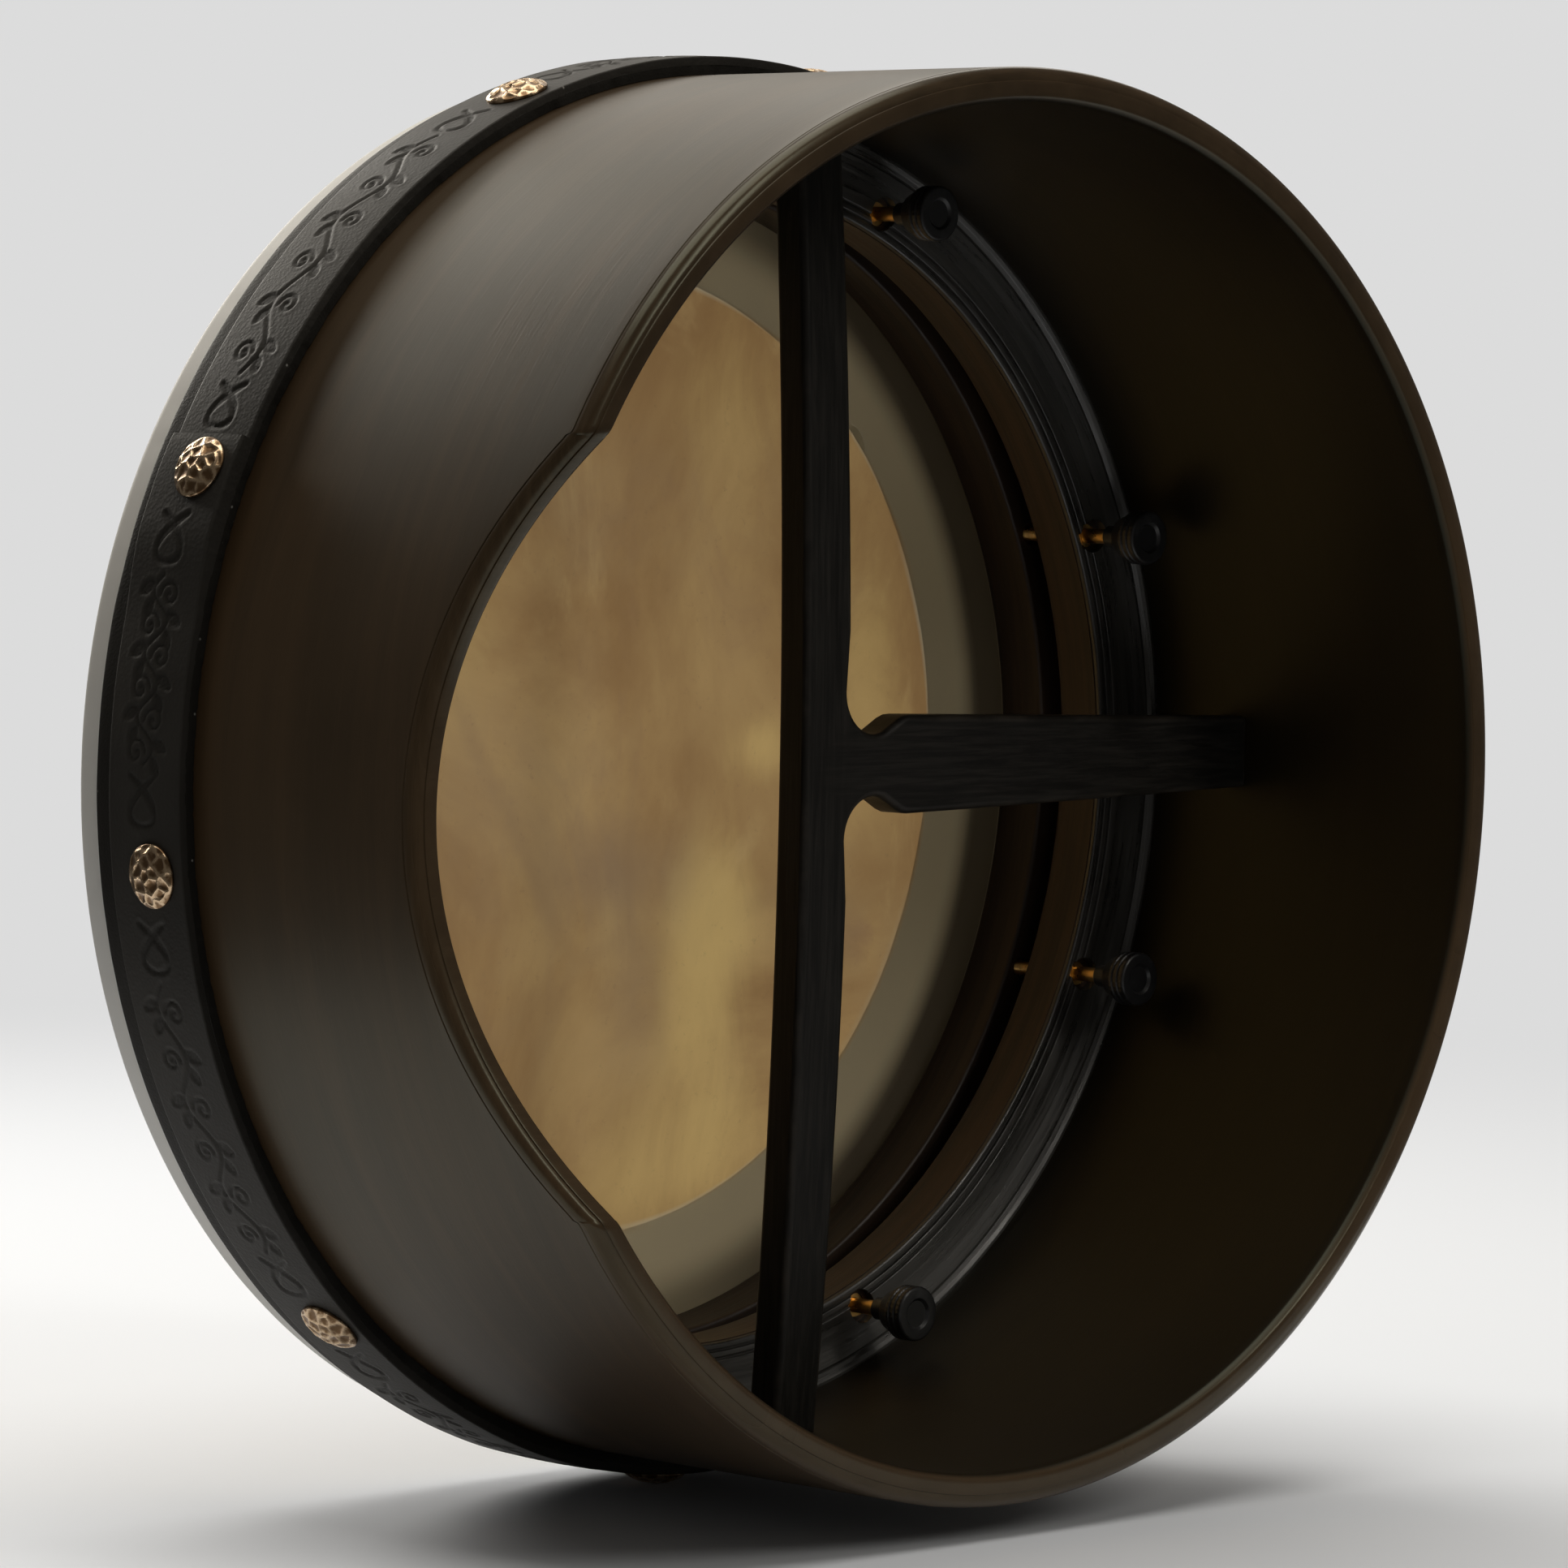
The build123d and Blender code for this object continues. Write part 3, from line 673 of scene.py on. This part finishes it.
def make_anchor_cap():
    """The moulded black cap: beads and quirks inside, a coved face, and a raised bead at the wall."""
    base, outer = RING_BACK, SHELL_INNER - 0.05
    section = [  # radius, rise over the ring
        (RING_RADIUS + 0.3, 0), (RING_RADIUS + 0.3, 1.5), (151.9, 1.7), (152.1, 1.15), (152.5, 1.15),
        (152.7, 1.9), (154.1, 2.15), (154.3, 1.6), (154.7, 1.6), (154.9, 2.3), (158.0, 2.55),
        (162.0, 3.2), (165.9, 4.3), (166.3, 3.9), (166.8, 3.9), (167.6, 4.8), (168.7, 5.3),
        (outer, 5.3), (outer, 0),
    ]
    points = [(radius, base + rise) for radius, rise in section]
    radii = {1: 0.8, 2: 0.15, 5: 0.3, 6: 0.4, 9: 0.3, 10: 1.0, 11: 4.0, 12: 0.3, 15: 0.5, 16: 0.6}
    piece = turned("anchor_cap_moulding", soften(points, radii, 4))
    cut_round_holes(piece, 4.5, base - 1, base + 8)
    material = black_wood("cap_black", 0.25, 1.0, coat=0.10, round_grain=True)
    return dress(piece, material, "drum_frame", "black_lacquered_wood", "anchor_cap")


def make_tuning_hoop():
    front, back = HOOP_FRONT, HOOP_BACK
    points = [(HOOP_INNER, back), (HOOP_OUTER, back), (HOOP_OUTER, front + 3.5), (161.5, front),
              (156.0, front), (HOOP_INNER, front + 2.6)]
    profile = soften(points, {0: 1.2, 1: 0.6, 2: 0.8, 3: 2.5, 4: 3.5, 5: 1.6}, 6)
    piece = turned("tuning_hoop_wood", profile)
    cut_round_holes(piece, 3.0, back - 3.2, back + 2)
    # Painted shade: the hoop, deeper in the drum, gets a still darker copy of the ring wood.
    return dress(piece, ring_wood("hoop_wood", 0.45), "sliding_hoop", "ring_wood", "tuning_hoop")


# ---- tuners
def threaded(radius, y, angle):
    """The screw's radius: a thread with rounded roots, plain at its tip and below the knob."""
    phase = (-y / THREAD_PITCH + angle / TAU) % 1.0
    wave = 1 - np.abs(2 * phase - 1)
    cut = THREAD_DEPTH * (1 - np.clip(wave * 1.35 - 0.12, 0, 1))
    return radius - cut * (radius > 1.9) * (y < KNOB_FRONT - PLAIN_SHANK)


def make_tuner(number, angle, materials):
    x, _, z = round_point(math.radians(angle), TUNER_RADIUS, 0)
    rows = np.arange(SCREW_TIP + 0.7, SCREW_HEAD - 0.05, 0.1)
    profile = [(0, SCREW_TIP), (1.2, SCREW_TIP), (1.6, SCREW_TIP + 0.3)] + [(1.98, y) for y in rows]
    profile += [(0, rows[-1])]
    points, faces = lathe_along_y(profile, 20, (x, 0, z), threaded)
    screw = build(f"tuner_screw_thread_{number}", points, faces, sharp=60)
    dress(screw, materials[0], f"tuner_{number}", "brass", f"tuner_screw_{number}")

    section = [  # radius, distance from the knob's front: the neck, the cone, two grooves in the flange
        (0, 0.3), (2.05, 0.3), (2.3, 0), (3.0, 0), (3.0, 4.3), (5.1, 5.2), (6.8, 9.1), (7.3, 9.7),
        (7.3, 10.5), (6.85, 10.75), (6.85, 11.05), (7.3, 11.3), (7.3, 12.3), (6.85, 12.55),
        (6.85, 12.85), (7.3, 13.1),
    ]
    outline = [(radius, KNOB_FRONT + along) for radius, along in section]
    outline += [(7.3, KNOB_BACK), (4.2, KNOB_BACK), (3.5, KNOB_BACK - 0.7), (0, KNOB_BACK - 0.7)]
    radii = {3: 0.4, 4: 0.5, 5: 0.9, 6: 0.4, 7: 0.4, 8: 0.2, 11: 0.2, 12: 0.2, 15: 0.2, 16: 0.9, 17: 0.3}
    outline = soften(outline, radii, 4)

    def grip(radius, y, turn):
        flutes = 0.10 * (0.5 + 0.5 * np.cos(36 * turn)) ** 2
        return radius - flutes * (radius > 7.1)

    points, faces = lathe_along_y(outline, 144, (x, 0, z), grip)
    knob = build(f"tuner_knob_grip_{number}", points, faces, sharp=32)
    dress(knob, materials[1], f"tuner_{number}", "black_knob", f"tuner_knob_{number}")


# ---- skin and tape
def blotches(x, z, places):
    """A soft field on the membrane: the sum of spots, each (x, z, half width, half height, strength)."""
    field = 0 * x
    for middle_x, middle_z, wide, tall, strength in places:
        field = field + strength * np.exp(-(((x - middle_x) / wide) ** 2 + ((z - middle_z) / tall) ** 2))
    return np.clip(field, 0, 1.2)


def tape_shift(angle):
    """How far the hand-laid tape's inner edge lies from its circle."""
    return 2.0 * np.sin(angle) - 3.3 * np.cos(angle)


GOLDEN = [(-60, 2, 12, 9, 1.0), (-42, -42, 19, 21, 1.1), (-37, -70, 15, 20, 0.8),
          (-40, -100, 32, 20, 0.75), (-15, -116, 36, 14, 0.5), (-100, 22, 22, 50, 0.65),
          (-45, 92, 30, 30, 0.5), (62, 40, 26, 30, 0.5)]
DUSKY = [(32, -4, 44, 30, 0.5), (-8, -30, 26, 16, 0.8), (46, -58, 36, 34, 0.3),
         (-14, -64, 13, 22, 0.55), (-5, 70, 40, 30, 0.45), (-90, -48, 24, 22, 0.4)]


def make_skin():
    """The head as one sheet: membrane, the slope off the hoop, the turn over the edge, and the wrap."""
    turn = soften([(163.0, MEMBRANE_Y), (176.2, SHELL_FRONT - 0.15), (WRAP_RADIUS, SHELL_FRONT + 2.2),
                   (WRAP_RADIUS, WRAP_END)], {1: 1.6, 2: 2.4}, 5)
    membrane = [(r, MEMBRANE_Y) for r in np.linspace(2.0, 161.0, 90)]
    slope = [np.array(turn[0]) + (np.array(turn[1]) - turn[0]) * t for t in np.linspace(0, 0.95, 12)]
    wrap = [(WRAP_RADIUS, y) for y in np.linspace(turn[-2][1] + 0.6, WRAP_END, 34)]
    profile = np.array(membrane + [tuple(p) for p in slope] + [tuple(p) for p in turn[1:-1]] + wrap)
    columns = 540
    angle = round_angles(columns)
    radius, y = swept(profile, angle)
    down = np.clip((y - SHELL_FRONT - 1.0) / 9.0, 0, 1)
    pleat = 0.10 * wavy(angle * 9, 5) + 0.07 * wavy(angle * 17, 6)
    radius = radius + down * (0.06 + pleat)
    lap = np.clip(1 - np.abs(radius - 120) / 60, 0, 1)
    y = y - lap * 0.05 * (1 + wavy(angle, 7)) * (radius < 150)
    points = round_point(angle, radius, y).reshape(-1, 3)
    points = np.concatenate([points, [[0, MEMBRANE_Y, 0]]])
    faces = grid_faces(len(profile), columns, wrap_rows=False).tolist()
    centre = len(points) - 1
    faces += [[centre, (j + 1) % columns, j] for j in range(columns)]
    inward_face = profile[:, 1:] < SHELL_FRONT
    # Painted light and shade: the tape-backed ring's grey tone stands in for light the tape dims, and
    # the shaded mask paints the hoop's shade, deeper on the arm's side, where it also darkens the
    # tape-backed ring.
    share = np.clip((radius - 136.0) / 14.0, 0, 1)
    painted_tape_shade = np.clip((radius - TAPE_INNER - tape_shift(angle) + 0.3) / 0.6, 0, 1) * inward_face
    to_arm = np.cos(angle)
    shaded = smooth(share) * (0.50 + 0.50 * to_arm) + 0.42 * painted_tape_shade * to_arm
    fields = {
        "painted_tape_shade": painted_tape_shade,
        "shaded": np.clip(shaded, 0, 1) * (profile[:, :1] < TAPE_OUTER),
        "wrap": np.clip((radius - 171.0) / 5.0, 0, 1),
        "golden": blotches(-radius * to_arm, radius * np.sin(angle), GOLDEN),
        "dusky": blotches(-radius * to_arm, radius * np.sin(angle), DUSKY),
    }
    values = {name: np.append(field.ravel(), field[0].mean()) for name, field in fields.items()}
    skin = build("goatskin_head", points, faces, values, closed=False)
    dress(skin, goatskin(), "drum_frame", "drum_skin", "skin")

    # The skin bends between shell and hoop, and was cut as a round sheet.
    skin.parent = None
    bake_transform(skin)


def make_tape():
    """A ring of damping tape stuck on the skin's face, its two ends overlapping at the foot."""
    columns = 720
    angle = round_angles(columns)
    top, low = MEMBRANE_Y - 0.08, MEMBRANE_Y - 0.42
    profile = soften([(TAPE_INNER, top), (TAPE_INNER, low), (TAPE_OUTER, low), (TAPE_OUTER, top)],
                     {1: 0.12, 2: 0.12}, 2)
    profile = np.array(subdivided(profile, 2.0))
    radius, y = swept(profile, angle)
    middle = (TAPE_INNER + TAPE_OUTER) / 2
    side = np.sign(radius - middle)
    radius = radius + side * 0.18 * wavy(angle * 2, 11)
    to_inner = (TAPE_OUTER - radius) / (TAPE_OUTER - TAPE_INNER)
    radius = radius + tape_shift(angle) * np.clip(to_inner, 0, 1)
    lap = np.clip(1 - np.abs(angle - math.radians(250)) / math.radians(3.0), 0, 1)
    face = (y < MEMBRANE_Y - 0.2)
    y = y - face * (0.22 * np.clip(lap * 8, 0, 1) + 0.05 * (1 + wavy(angle * 5, 12)))
    tape = build("damping_tape_ring", round_point(angle, radius, y), grid_faces(len(profile), columns))
    return dress(tape, cloth_tape(), "sliding_hoop", "black_tape", "damping_tape")


# ---- leather bands
def ragged(angle, seed):
    """A cut leather edge's small unevenness."""
    coarse, middle, fine = wavy(angle * 3, seed), wavy(angle * 17, seed + 1), wavy(angle * 43, seed + 2)
    return coarse + 0.7 * middle + 0.5 * fine


def make_base_band():
    columns = 1440
    angle = round_angles(columns)
    inner, outer = SHELL_RADIUS + 0.12, BAND_OUTER
    points = [(inner, BAND_BACK), (outer, BAND_BACK), (outer, BAND_FRONT), (inner + 0.9, BAND_FRONT)]
    profile = np.array(subdivided(soften(points, {1: 0.25, 2: 0.9}, 4), 1.6))
    radius, y = swept(profile, angle)
    at_back = np.clip((y - BAND_BACK + 2.5) / 2.5, 0, 1)
    at_front = np.clip((BAND_FRONT + 2.5 - y) / 2.5, 0, 1)
    low_edge = np.clip((outer - radius) / (outer - inner), 0, 1)
    y = y - at_back * low_edge * 0.35 * np.abs(ragged(angle, 21)) - at_front * 0.10 * wavy(angle * 6, 25)
    edge = at_back * (0.4 + 0.6 * low_edge) + at_front * 0.3
    values = {"edge": edge, "groove": 0 * edge}
    points = round_point(angle, radius, y)
    band = build("base_band_leather", points, grid_faces(len(profile), columns), values)
    material = leather("band_leather", (0.0125, 0.0115, 0.0100), 1500.0, 0.54)
    return dress(band, material, "drum_frame", "band_leather", "base_band")


def strap_gaps():
    """The strap's stretches between nails, as (middle angle, half length in millimetres)."""
    gaps = []
    for one, two in zip(NAIL_ANGLES, NAIL_ANGLES[1:] + [NAIL_ANGLES[0] + 360]):
        gaps.append(((one + two) / 2, math.radians(two - one) / 2 * STRAP_OUTER))
    return gaps


def scroll(centre, size, turns, start, side):
    """A tightening spiral that leaves a vine."""
    t = np.linspace(0, 1, 26)
    radius = size * (1 - t) ** 0.8
    turn = start + side * t * turns * TAU
    return np.stack([centre[0] + radius * np.cos(turn), centre[1] + radius * np.sin(turn)], -1)


def leaf(base, direction, length):
    """A pointed leaf outline with a middle rib."""
    t = np.linspace(0, 1, 12)
    bulge = length * 0.22 * np.sin(math.pi * t) ** 0.8
    c, s = math.cos(direction), math.sin(direction)
    lines = []
    for side in (1, -1, 0):
        reach = length * (t if side else t * 0.7)
        out = side * bulge
        lines.append(np.stack([base[0] + reach * c - out * s, base[1] + reach * s + out * c], -1))
    return lines


def knot(centre, width, height):
    """A closed interlaced loop."""
    t = np.linspace(0, TAU, 60)
    return [np.stack([centre + width * np.sin(2 * t + 0.4), height * np.cos(3 * t)], -1)]


def vine_motif(half_length):
    """Tooled lines for a stretch of strap: a waving vine with scrolls and leaves, a knot at each end."""
    reach = half_length - 27
    u = np.linspace(-reach, reach, 90)
    wave, height = TAU / (2 * reach / 3), 3.1
    lines = [np.stack([u, height * np.sin(wave * u)], -1)]
    for k in range(-3, 3):
        crest = (k + 0.5) * math.pi / wave
        if abs(crest) > reach:
            continue
        side = 1 if math.sin(wave * crest) > 0 else -1
        lines.append(scroll((crest + 1.0, -side * 2.9), 3.4, 1.35, side * math.pi / 2, side))
        lines += leaf((crest - 2.0, side * 3.3), side * 1.05, 5.2)
        lines += leaf((crest + 2.4, side * 3.2), side * 0.45, 4.6)
    for end in (-1, 1):
        lines += knot(end * (reach + 9.0), 6.2, 4.6)
    return lines


def distance_to(lines, u, v):
    """The distance from each (u, v) to the nearest tooled line."""
    best = np.full(u.shape, 9.0)
    for line in lines:
        for one, two in zip(line[:-1], line[1:]):
            near = (np.abs(u - one[0]) < 3.5) & (np.abs(v - one[1]) < 3.5)
            if not near.any():
                continue
            du, dv = two - one
            length = max(du * du + dv * dv, 1e-9)
            pu, pv = u[near] - one[0], v[near] - one[1]
            t = np.clip((pu * du + pv * dv) / length, 0, 1)
            best[near] = np.minimum(best[near], np.hypot(pu - t * du, pv - t * dv))
    return best


def make_strap():
    """The tooled strap: engraved lines with raised lips, a slight crown, and one end lapped over."""
    columns = 1900
    angle = np.linspace(0, TAU, columns, endpoint=False)
    step = np.radians(LAP_END)
    angle = np.sort(np.append(angle[np.abs(angle - step) > 0.002], [step - 0.0002, step]))[None, :]
    inner, outer = BAND_OUTER - 0.05, STRAP_OUTER
    points = [(inner, STRAP_BACK), (outer, STRAP_BACK), (outer, STRAP_FRONT), (inner, STRAP_FRONT)]
    corners = soften(points, {1: 0.45, 2: 0.8}, 4)
    face_rows = [(outer, y) for y in np.linspace(STRAP_BACK - 0.55, STRAP_FRONT + 0.9, 46)]
    back_turn, front_turn = corners[1:6], corners[6:11]
    profile = np.array([corners[0]] + back_turn + face_rows + front_turn + [corners[11]])
    radius, y = swept(profile, angle)

    middle = (STRAP_BACK + STRAP_FRONT) / 2
    across = y - middle
    groove = 0 * radius
    lifted = 0 * radius
    for centre, half_length in strap_gaps():
        away = (np.degrees(angle) - centre + 180) % 360 - 180
        along = np.radians(away) * STRAP_OUTER
        chosen = np.nonzero(np.abs(along[0]) < half_length - 8)[0]
        if not len(chosen):
            continue
        u = np.broadcast_to(along[:, chosen], (len(profile), len(chosen)))
        gap = distance_to(vine_motif(half_length), u, across[:, chosen])
        groove[:, chosen] = np.exp(-((gap / 0.42) ** 2))
        lifted[:, chosen] = np.exp(-(((gap - 1.15) / 0.45) ** 2))
    on_face = (profile[:, :1] > outer - 0.01) & (np.abs(across) < 12.5)
    groove, lifted = groove * on_face, lifted * on_face
    crown = 0.30 * (1 - (across / 13.3) ** 2) * (radius > inner + 1)
    raised = np.where((angle >= step) & (angle < np.radians(LAP_FLAT)), 1.0, 0.0)
    falling = np.clip((np.radians(LAP_TAPER) - angle) / np.radians(LAP_TAPER - LAP_FLAT), 0, 1)
    raised = np.where(angle >= np.radians(LAP_FLAT), smooth(falling), raised)
    end_curl = 0.35 * np.exp(-np.abs(np.degrees(angle - step)) / 0.8) * (angle >= step)
    outward = np.clip((radius - inner) / (outer - inner), 0, 1)
    at_back = np.clip((y - STRAP_BACK + 1.6) / 1.6, 0, 1)
    radius = radius - 0.30 + crown - 0.40 * groove + 0.07 * lifted + outward * LAP_RISE * raised
    radius = radius - outward * end_curl + 0.05 * wavy(angle * 4, 31) * outward
    y = y - 0.12 * at_back * ragged(angle, 33) * (1 - 0.5 * outward)
    edge = at_back * 0.8 + np.clip((STRAP_FRONT + 1.2 - profile[:, 1:]) / 1.2, 0, 1) * 0.5
    values = {"edge": edge, "groove": groove}
    strap = build("leather_strap_tooled", round_point(angle, radius, y),
                  grid_faces(len(profile), angle.shape[1]), values, sharp=50)
    material = leather("strap_leather", (0.0236, 0.0218, 0.0192), 1100.0, 0.52)
    return dress(strap, material, "drum_frame", "strap_leather", "leather_strap")


# ---- nails
def make_nail(number, angle):
    """A domed head beaten into overlapping hollows, with a thin rolled edge."""
    rng = np.random.default_rng(100 + number)
    seat = STRAP_OUTER - 0.05 + (LAP_RISE if angle == LAPPED_NAIL else 0.0)
    rows, columns = 44, 120
    share = np.linspace(0.012, 1, rows)[:, None]
    turn = round_angles(columns)
    across = NAIL_RADIUS * share * (1 + 0.012 * np.sin(3 * turn + number))
    u, v = across * np.cos(turn), across * np.sin(turn)
    height = NAIL_HEIGHT * np.sqrt(np.clip(1 - 0.95 * share**2, 0, 1)) ** 1.1
    blows = []
    for ring, amount in ((0.5, 1), (3.2, 5), (5.9, 9), (8.1, 11)):  # each ring of blows: radius, count
        for k in range(amount):
            place = TAU * (k + rng.uniform(-0.30, 0.30)) / amount + ring + number
            out = ring + rng.uniform(-0.5, 0.5)
            away = np.hypot(u - out * math.cos(place), v - out * math.sin(place))
            blows.append(away - rng.uniform(-0.45, 0.45))
    nearest = np.sort(np.stack(blows), axis=0)[:2]
    hollow = 1 - np.clip((nearest[0] + 0.6) / (nearest[1] + 0.6), 0, 1) ** 2
    height = height - 0.62 * hollow * np.clip((1 - share) * 9, 0.15, 1)
    top = np.stack([seat + height, u, v], -1).reshape(-1, 3)
    sag = np.sqrt(seat**2 - v[-1] ** 2)
    rim = np.stack([sag - 0.03 + 0 * u[-1], u[-1] * 0.985, v[-1] * 0.985], -1)
    points = np.concatenate([top, rim, [[seat + height[0].mean(), 0, 0], [seat - 0.3, 0, 0]]])
    faces = capped_faces(rows + 1, columns, len(points) - 2)
    shade = np.concatenate([hollow.ravel(), np.full(columns, 0.7), [hollow[0].mean(), 1]])
    a = math.radians(angle)
    out, y, side = points[:, 0], points[:, 1] + NAIL_Y, points[:, 2]
    x = -out * math.cos(a) + side * math.sin(a)
    z = out * math.sin(a) + side * math.cos(a)
    return np.stack([x, y, z], -1), faces, shade


def make_nails():
    points, faces, shades, first = [], [], [], 0
    for number, angle in enumerate(NAIL_ANGLES):
        nail_points, nail_faces, shade = make_nail(number, angle)
        points.append(nail_points)
        faces += [[index + first for index in face] for face in nail_faces]
        shades.append(shade)
        first += len(nail_points)
    values = {"hollow": np.concatenate(shades)}
    piece = build("nails_hammered", np.concatenate(points), faces, values, sharp=70)
    return dress(piece, hammered_bronze(), "drum_frame", "aged_bronze", "nails")


# ---- CAD nodes that stay, in better finishes
def finish_cad_nodes():
    finishes = {"crossbar_dowels": bare_beech(), "threaded_inserts": brass("insert_brass"),
                "pressure_discs": brass("disc_brass")}
    for node, material in finishes.items():
        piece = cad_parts[node]
        for place in piece.material_slots:
            place.material = material


# ---- studio
PALE = 0.716  # the linear value that renders as the photograph's pale grey
FLOOR_REACH = 0.46  # how far the floor is seen in the drum's own reflections


def studio_paper():
    """Pale paper: lit by the lamps under the drum, and evenly pale further out."""
    f = Finish("studio_paper", Roughness=0.9, Base_Color=rgb(0.76, 0.795, 0.86))
    even = f.add("Emission", {"Color": rgb(PALE, PALE, PALE), "Strength": 1.0})
    f.mix_in(f.levels(f.away((1, 1, 0)), 0.35, 1.5), even)
    return f.material


def make_stage(floor_z):
    """A pale round floor, and beyond it a cove that is only a backdrop and doesn't light the drum."""
    bend, height, cove = 1.6, 5.0, 3.2  # the cove's radius, its top, and where it starts
    turns = np.linspace(0.15, math.pi / 2, 10)
    near = [(r, 0.0) for r in np.linspace(0.05, FLOOR_REACH, 12)]
    far = [(r, 0.0) for r in np.linspace(FLOOR_REACH, cove, 6)]
    far += [(cove + bend * math.sin(t), bend - bend * math.cos(t)) for t in turns]
    far += [(cove + bend, height)]
    columns = 96
    turn = round_angles(columns)
    paper = studio_paper()
    for name, outline in (("studio_floor", near), ("studio_backdrop", far)):
        profile = np.array(outline) / MM
        points = np.stack([profile[:, :1] * np.cos(turn), profile[:, :1] * np.sin(turn),
                           profile[:, 1:] + floor_z / MM + 0 * turn], -1)
        faces = grid_faces(len(profile), columns, wrap_rows=False).tolist()
        if name == "studio_floor":
            faces.append(list(range(columns)))
        piece = build(name, points, faces, closed=False)
        piece.data.materials.append(paper)
    for kind in ("diffuse", "glossy", "transmission", "shadow"):
        setattr(piece, "visible_" + kind, False)


def softbox(name, place, size, power):
    """A rectangular lamp that faces the drum, and isn't seen itself."""
    light = bpy.data.lights.new(name, "AREA")
    light.shape, light.size, light.size_y = "RECTANGLE", size[0], size[1]
    light.energy, light.color = power, (1.0, 0.95, 0.865)
    lamp = linked(name, light)
    lamp.location = place
    lamp.rotation_mode = "QUATERNION"
    lamp.rotation_quaternion = (-Vector(place)).to_track_quat("-Z", "Y")
    lamp.visible_camera = False


def make_lights():
    softbox("key", (-0.97, -1.43, 1.22), (2.0, 1.0), 9)
    softbox("front", (-0.20, -1.90, 0.92), (1.0, 0.7), 25)
    softbox("top", (0.0, 0.0, 2.7), (2.6, 2.6), 60)
    softbox("back", (-0.5, 1.75, 1.25), (0.35, 1.1), 7)
    world = bpy.data.worlds.new("studio")
    world.use_nodes = True
    background = world.node_tree.nodes["Background"]
    background.inputs["Color"].default_value = rgb(1, 0.95, 0.87)
    background.inputs["Strength"].default_value = 0.10
    bpy.context.scene.world = world
    bpy.context.scene.view_settings.view_transform = "Standard"


def make_camera():
    """The photograph's view: azimuth 134.5 degrees, elevation 3 degrees, slightly rolled."""
    camera = linked("camera", bpy.data.cameras.new("camera"))
    camera.data.sensor_width, camera.data.lens = 36.0, 161.0
    place, target = Vector((1.2714, 1.2512, 0.0935)), Vector((0.0052, -0.0050, -0.0025))
    roll = Quaternion((0, 0, 1), math.radians(1.1))
    camera.location = place
    camera.rotation_mode = "QUATERNION"
    camera.rotation_quaternion = (target - place).to_track_quat("-Z", "Y") @ roll
    bpy.context.scene.camera = camera


# ---- all together
make_camera()
make_lights()
make_shell()
make_crossbar()
make_anchor_ring()
make_anchor_cap()
make_tuning_hoop()
tuner_materials = (brass("turned_brass"), knob_plastic())
for number, angle in enumerate(TUNER_ANGLES, start=1):
    make_tuner(number, angle, tuner_materials)
make_skin()
make_tape()
make_base_band()
make_strap()
make_nails()
finish_cad_nodes()
make_stage(cad_box[0][2])
